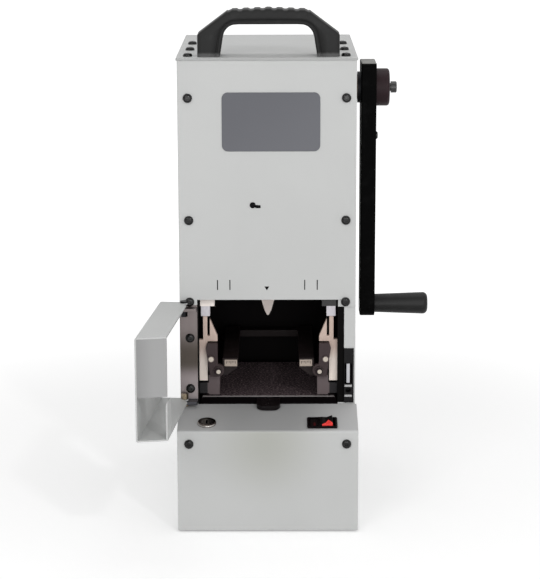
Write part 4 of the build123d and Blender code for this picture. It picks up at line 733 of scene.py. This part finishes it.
def lampPill():
    turnAt = np.linspace(0.0, 2 * np.pi, pill["spokes"], endpoint=False)
    lift = np.linspace(0.0, pill["top"], pill["rings"]) * np.pi / 2
    circle = np.stack([np.cos(turnAt), np.sin(turnAt)], axis=1)
    oval = np.sign(circle) * np.abs(circle) ** pill["square"] * np.array(pill["half"])
    spread = np.cos(lift)[:, None, None] * oval[None]
    depth = frontWall / mm - pill["sunk"] - pill["height"] * np.sin(lift)
    points = np.stack([
        pill["centre"][0] + spread[..., 0],
        np.broadcast_to(depth[:, None], spread.shape[:2]),
        pill["centre"][1] + spread[..., 1],
    ], axis=-1) * mm
    return makePiece("lamp_pill", points, ringFaces(*points.shape[:2]), "lamp_lens", "body")


lampPill()
print("panel marks and pill")

# The door's end wall: an upright sheet between the door's top flange and its skin, along their slanting
# ends. Its places are along the door from its pins, outwards from them, and up, turned by the door's angle.
endWall = {"pins": (-83.5, -126.0), "pastSquare": 5.5, "far": 151.9, "near": 143.9, "skin": -25.0, "rim": 4.0,
           "inset": 0.04, "sheet": 1.5, "bottom": 165.8, "top": 222.2}


def doorEndWall():
    angle = radians(endWall["pastSquare"])
    along = np.array([-sin(angle), -cos(angle)])
    outwards = np.array([cos(angle), -sin(angle)])
    start = np.array([endWall["far"], endWall["skin"]])
    run = np.array([endWall["near"], endWall["rim"]]) - start
    share = np.array([endWall["inset"], 1.0, 1.0, endWall["inset"]])
    height = np.array([endWall["top"], endWall["top"], endWall["bottom"], endWall["bottom"]])
    face = start + share[:, None] * run
    sheet = np.stack([face, face - [endWall["sheet"], 0]])
    flat = np.array(endWall["pins"]) + sheet[..., :1] * along + sheet[..., 1:] * outwards
    points = np.dstack([flat, np.broadcast_to(height, flat.shape[:2])]) * mm
    return makePiece("door_end_wall", points, ringFaces(*points.shape[:2]), "door_steel", "door", False)


doorEndWall()
print("door end wall")

# Graduation on each height tag: short strokes of a scale, every third one longer
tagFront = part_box("height_tags")[0][1]
scale = {"centres": (-37.3, 38.5), "count": 7, "pitch": 1.5, "width": 0.5, "top": 159.8,
         "short": 1.6, "long": 2.8, "longEvery": 3}
for side, tagX in enumerate(scale["centres"]):
    for index in range(scale["count"]):
        length = scale["long"] if index % scale["longEvery"] == 0 else scale["short"]
        left = tagX + (index - (scale["count"] - 1) / 2) * scale["pitch"] - scale["width"] / 2
        decal(f"tag_stroke_{side + 1}_{index + 1}", bar(left, scale["top"] - length, scale["width"], length),
              tagFront, "bracket_dark", "support")
print("tag scales")


# 1 for rays that look, straight, in a reflection or through glass, and 0 for rays that light
def lookingRays(tree):
    path = tree.nodes.new("ShaderNodeLightPath")
    seen = Wire(path.outputs["Is Camera Ray"]) + Wire(path.outputs["Is Glossy Ray"])
    return (seen + Wire(path.outputs["Is Transmission Ray"])).math("GREATER_THAN", 0.5)


# The floor: a square of pale paper, white to the eye near and far, still dimmed where the object shades it
ground = {"half": 9.0, "paper": (0.85, 0.85, 0.85), "fade": (300.0, 1200.0),
          "glowNear": 0.36, "glowFar": 0.75}


def flatFloor():
    half = ground["half"]
    corners = [(-half, -half, 0), (half, -half, 0), (half, half, 0), (-half, half, 0)]
    mesh = bpy.data.meshes.new("floor")
    mesh.from_pydata(corners, [], [(0, 1, 2, 3)])
    floor = bpy.data.objects.new("floor", mesh)
    bpy.context.collection.objects.link(floor)
    f = Finish("floorPaper", ground["paper"], 0.9, specular=0.0)
    away = f.reach((0, 0, 0), inPlan)
    glow = f.band(away, *ground["fade"], ground["glowNear"], ground["glowFar"]) * lookingRays(f.tree)
    f.set("Emission Color", f.mix(glow, (0, 0, 0), (1, 1, 1)))
    f.set("Emission Strength", 1.0)
    mesh.materials.append(f.material)


flatFloor()

# The world: white where it is looked at, and dimmer where it lights
studio = {"ambient": 0.44, "backdrop": 1.0}
world = bpy.data.worlds.new("studio")
bpy.context.scene.world = world
world.use_nodes = True
sky = world.node_tree
level = lookingRays(sky) * (studio["backdrop"] - studio["ambient"]) + studio["ambient"]
sky.links.new(level.socket, sky.nodes["Background"].inputs["Strength"])
sky.nodes["Background"].inputs["Color"].default_value = (1, 1, 1, 1)

# Large soft lamps light the shapes, the front one reaches into the opening, and the small one leaves sparks
lamps = {
    "keyLamp": {"at": (-1.0, -2.3, 1.5), "size": 1.0, "watts": 11.0},
    "frontLamp": {"at": (0.25, -2.7, 0.42), "size": 1.0, "watts": 13.0},
    "fillLamp": {"at": (1.9, -1.8, 1.0), "size": 1.4, "watts": 5.0},
    "topLamp": {"at": (0.1, 0.2, 2.4), "size": 1.4, "watts": 8.5},
    "sparkLamp": {"at": (0.75, -1.9, 1.45), "size": 0.14, "watts": 6.0},
}
aim = Vector((0, 0, 0.25))
for lampName, lamp in lamps.items():
    data = bpy.data.lights.new(lampName, "AREA")
    data.size = lamp["size"]
    data.energy = lamp["watts"]
    lampObject = bpy.data.objects.new(lampName, data)
    bpy.context.collection.objects.link(lampObject)
    lampObject.location = lamp["at"]
    lampObject.rotation_euler = (aim - Vector(lamp["at"])).to_track_quat("-Z", "Y").to_euler()

# The camera stands where the photograph was taken from: a long lens, looking down a little. Angles are in
# radians, the place in metres, the focal length and the frame in pixels, and the sensor in millimetres.
view = {"at": (0.010490, -2.145620, 0.679671), "down": 0.21576, "turn": -0.00396, "roll": 0.00284,
        "focal": 2077.587, "frame": 540.0, "sensor": 36.0, "farthest": 20.0}
turn, down, roll = view["turn"], view["down"], view["roll"]
flatRight = Vector((cos(turn), -sin(turn), 0))
upright = Vector((sin(turn) * sin(down), cos(turn) * sin(down), cos(down)))
ahead = Vector((sin(turn) * cos(down), cos(turn) * cos(down), -sin(down)))
rightward = flatRight * cos(roll) - upright * sin(roll)
upward = flatRight * sin(roll) + upright * cos(roll)
cameraData = bpy.data.cameras.new("photoCamera")
cameraData.sensor_fit = "HORIZONTAL"
cameraData.sensor_width = view["sensor"]
cameraData.lens = view["sensor"] * view["focal"] / view["frame"]
cameraData.clip_end = view["farthest"]
camera = bpy.data.objects.new("photoCamera", cameraData)
bpy.context.collection.objects.link(camera)
stand = Matrix((rightward, upward, -ahead)).transposed().to_4x4()
stand.translation = Vector(view["at"])
camera.matrix_world = stand
bpy.context.scene.camera = camera
bpy.context.scene.view_settings.view_transform = "Standard"
print("floor, lamps and camera")
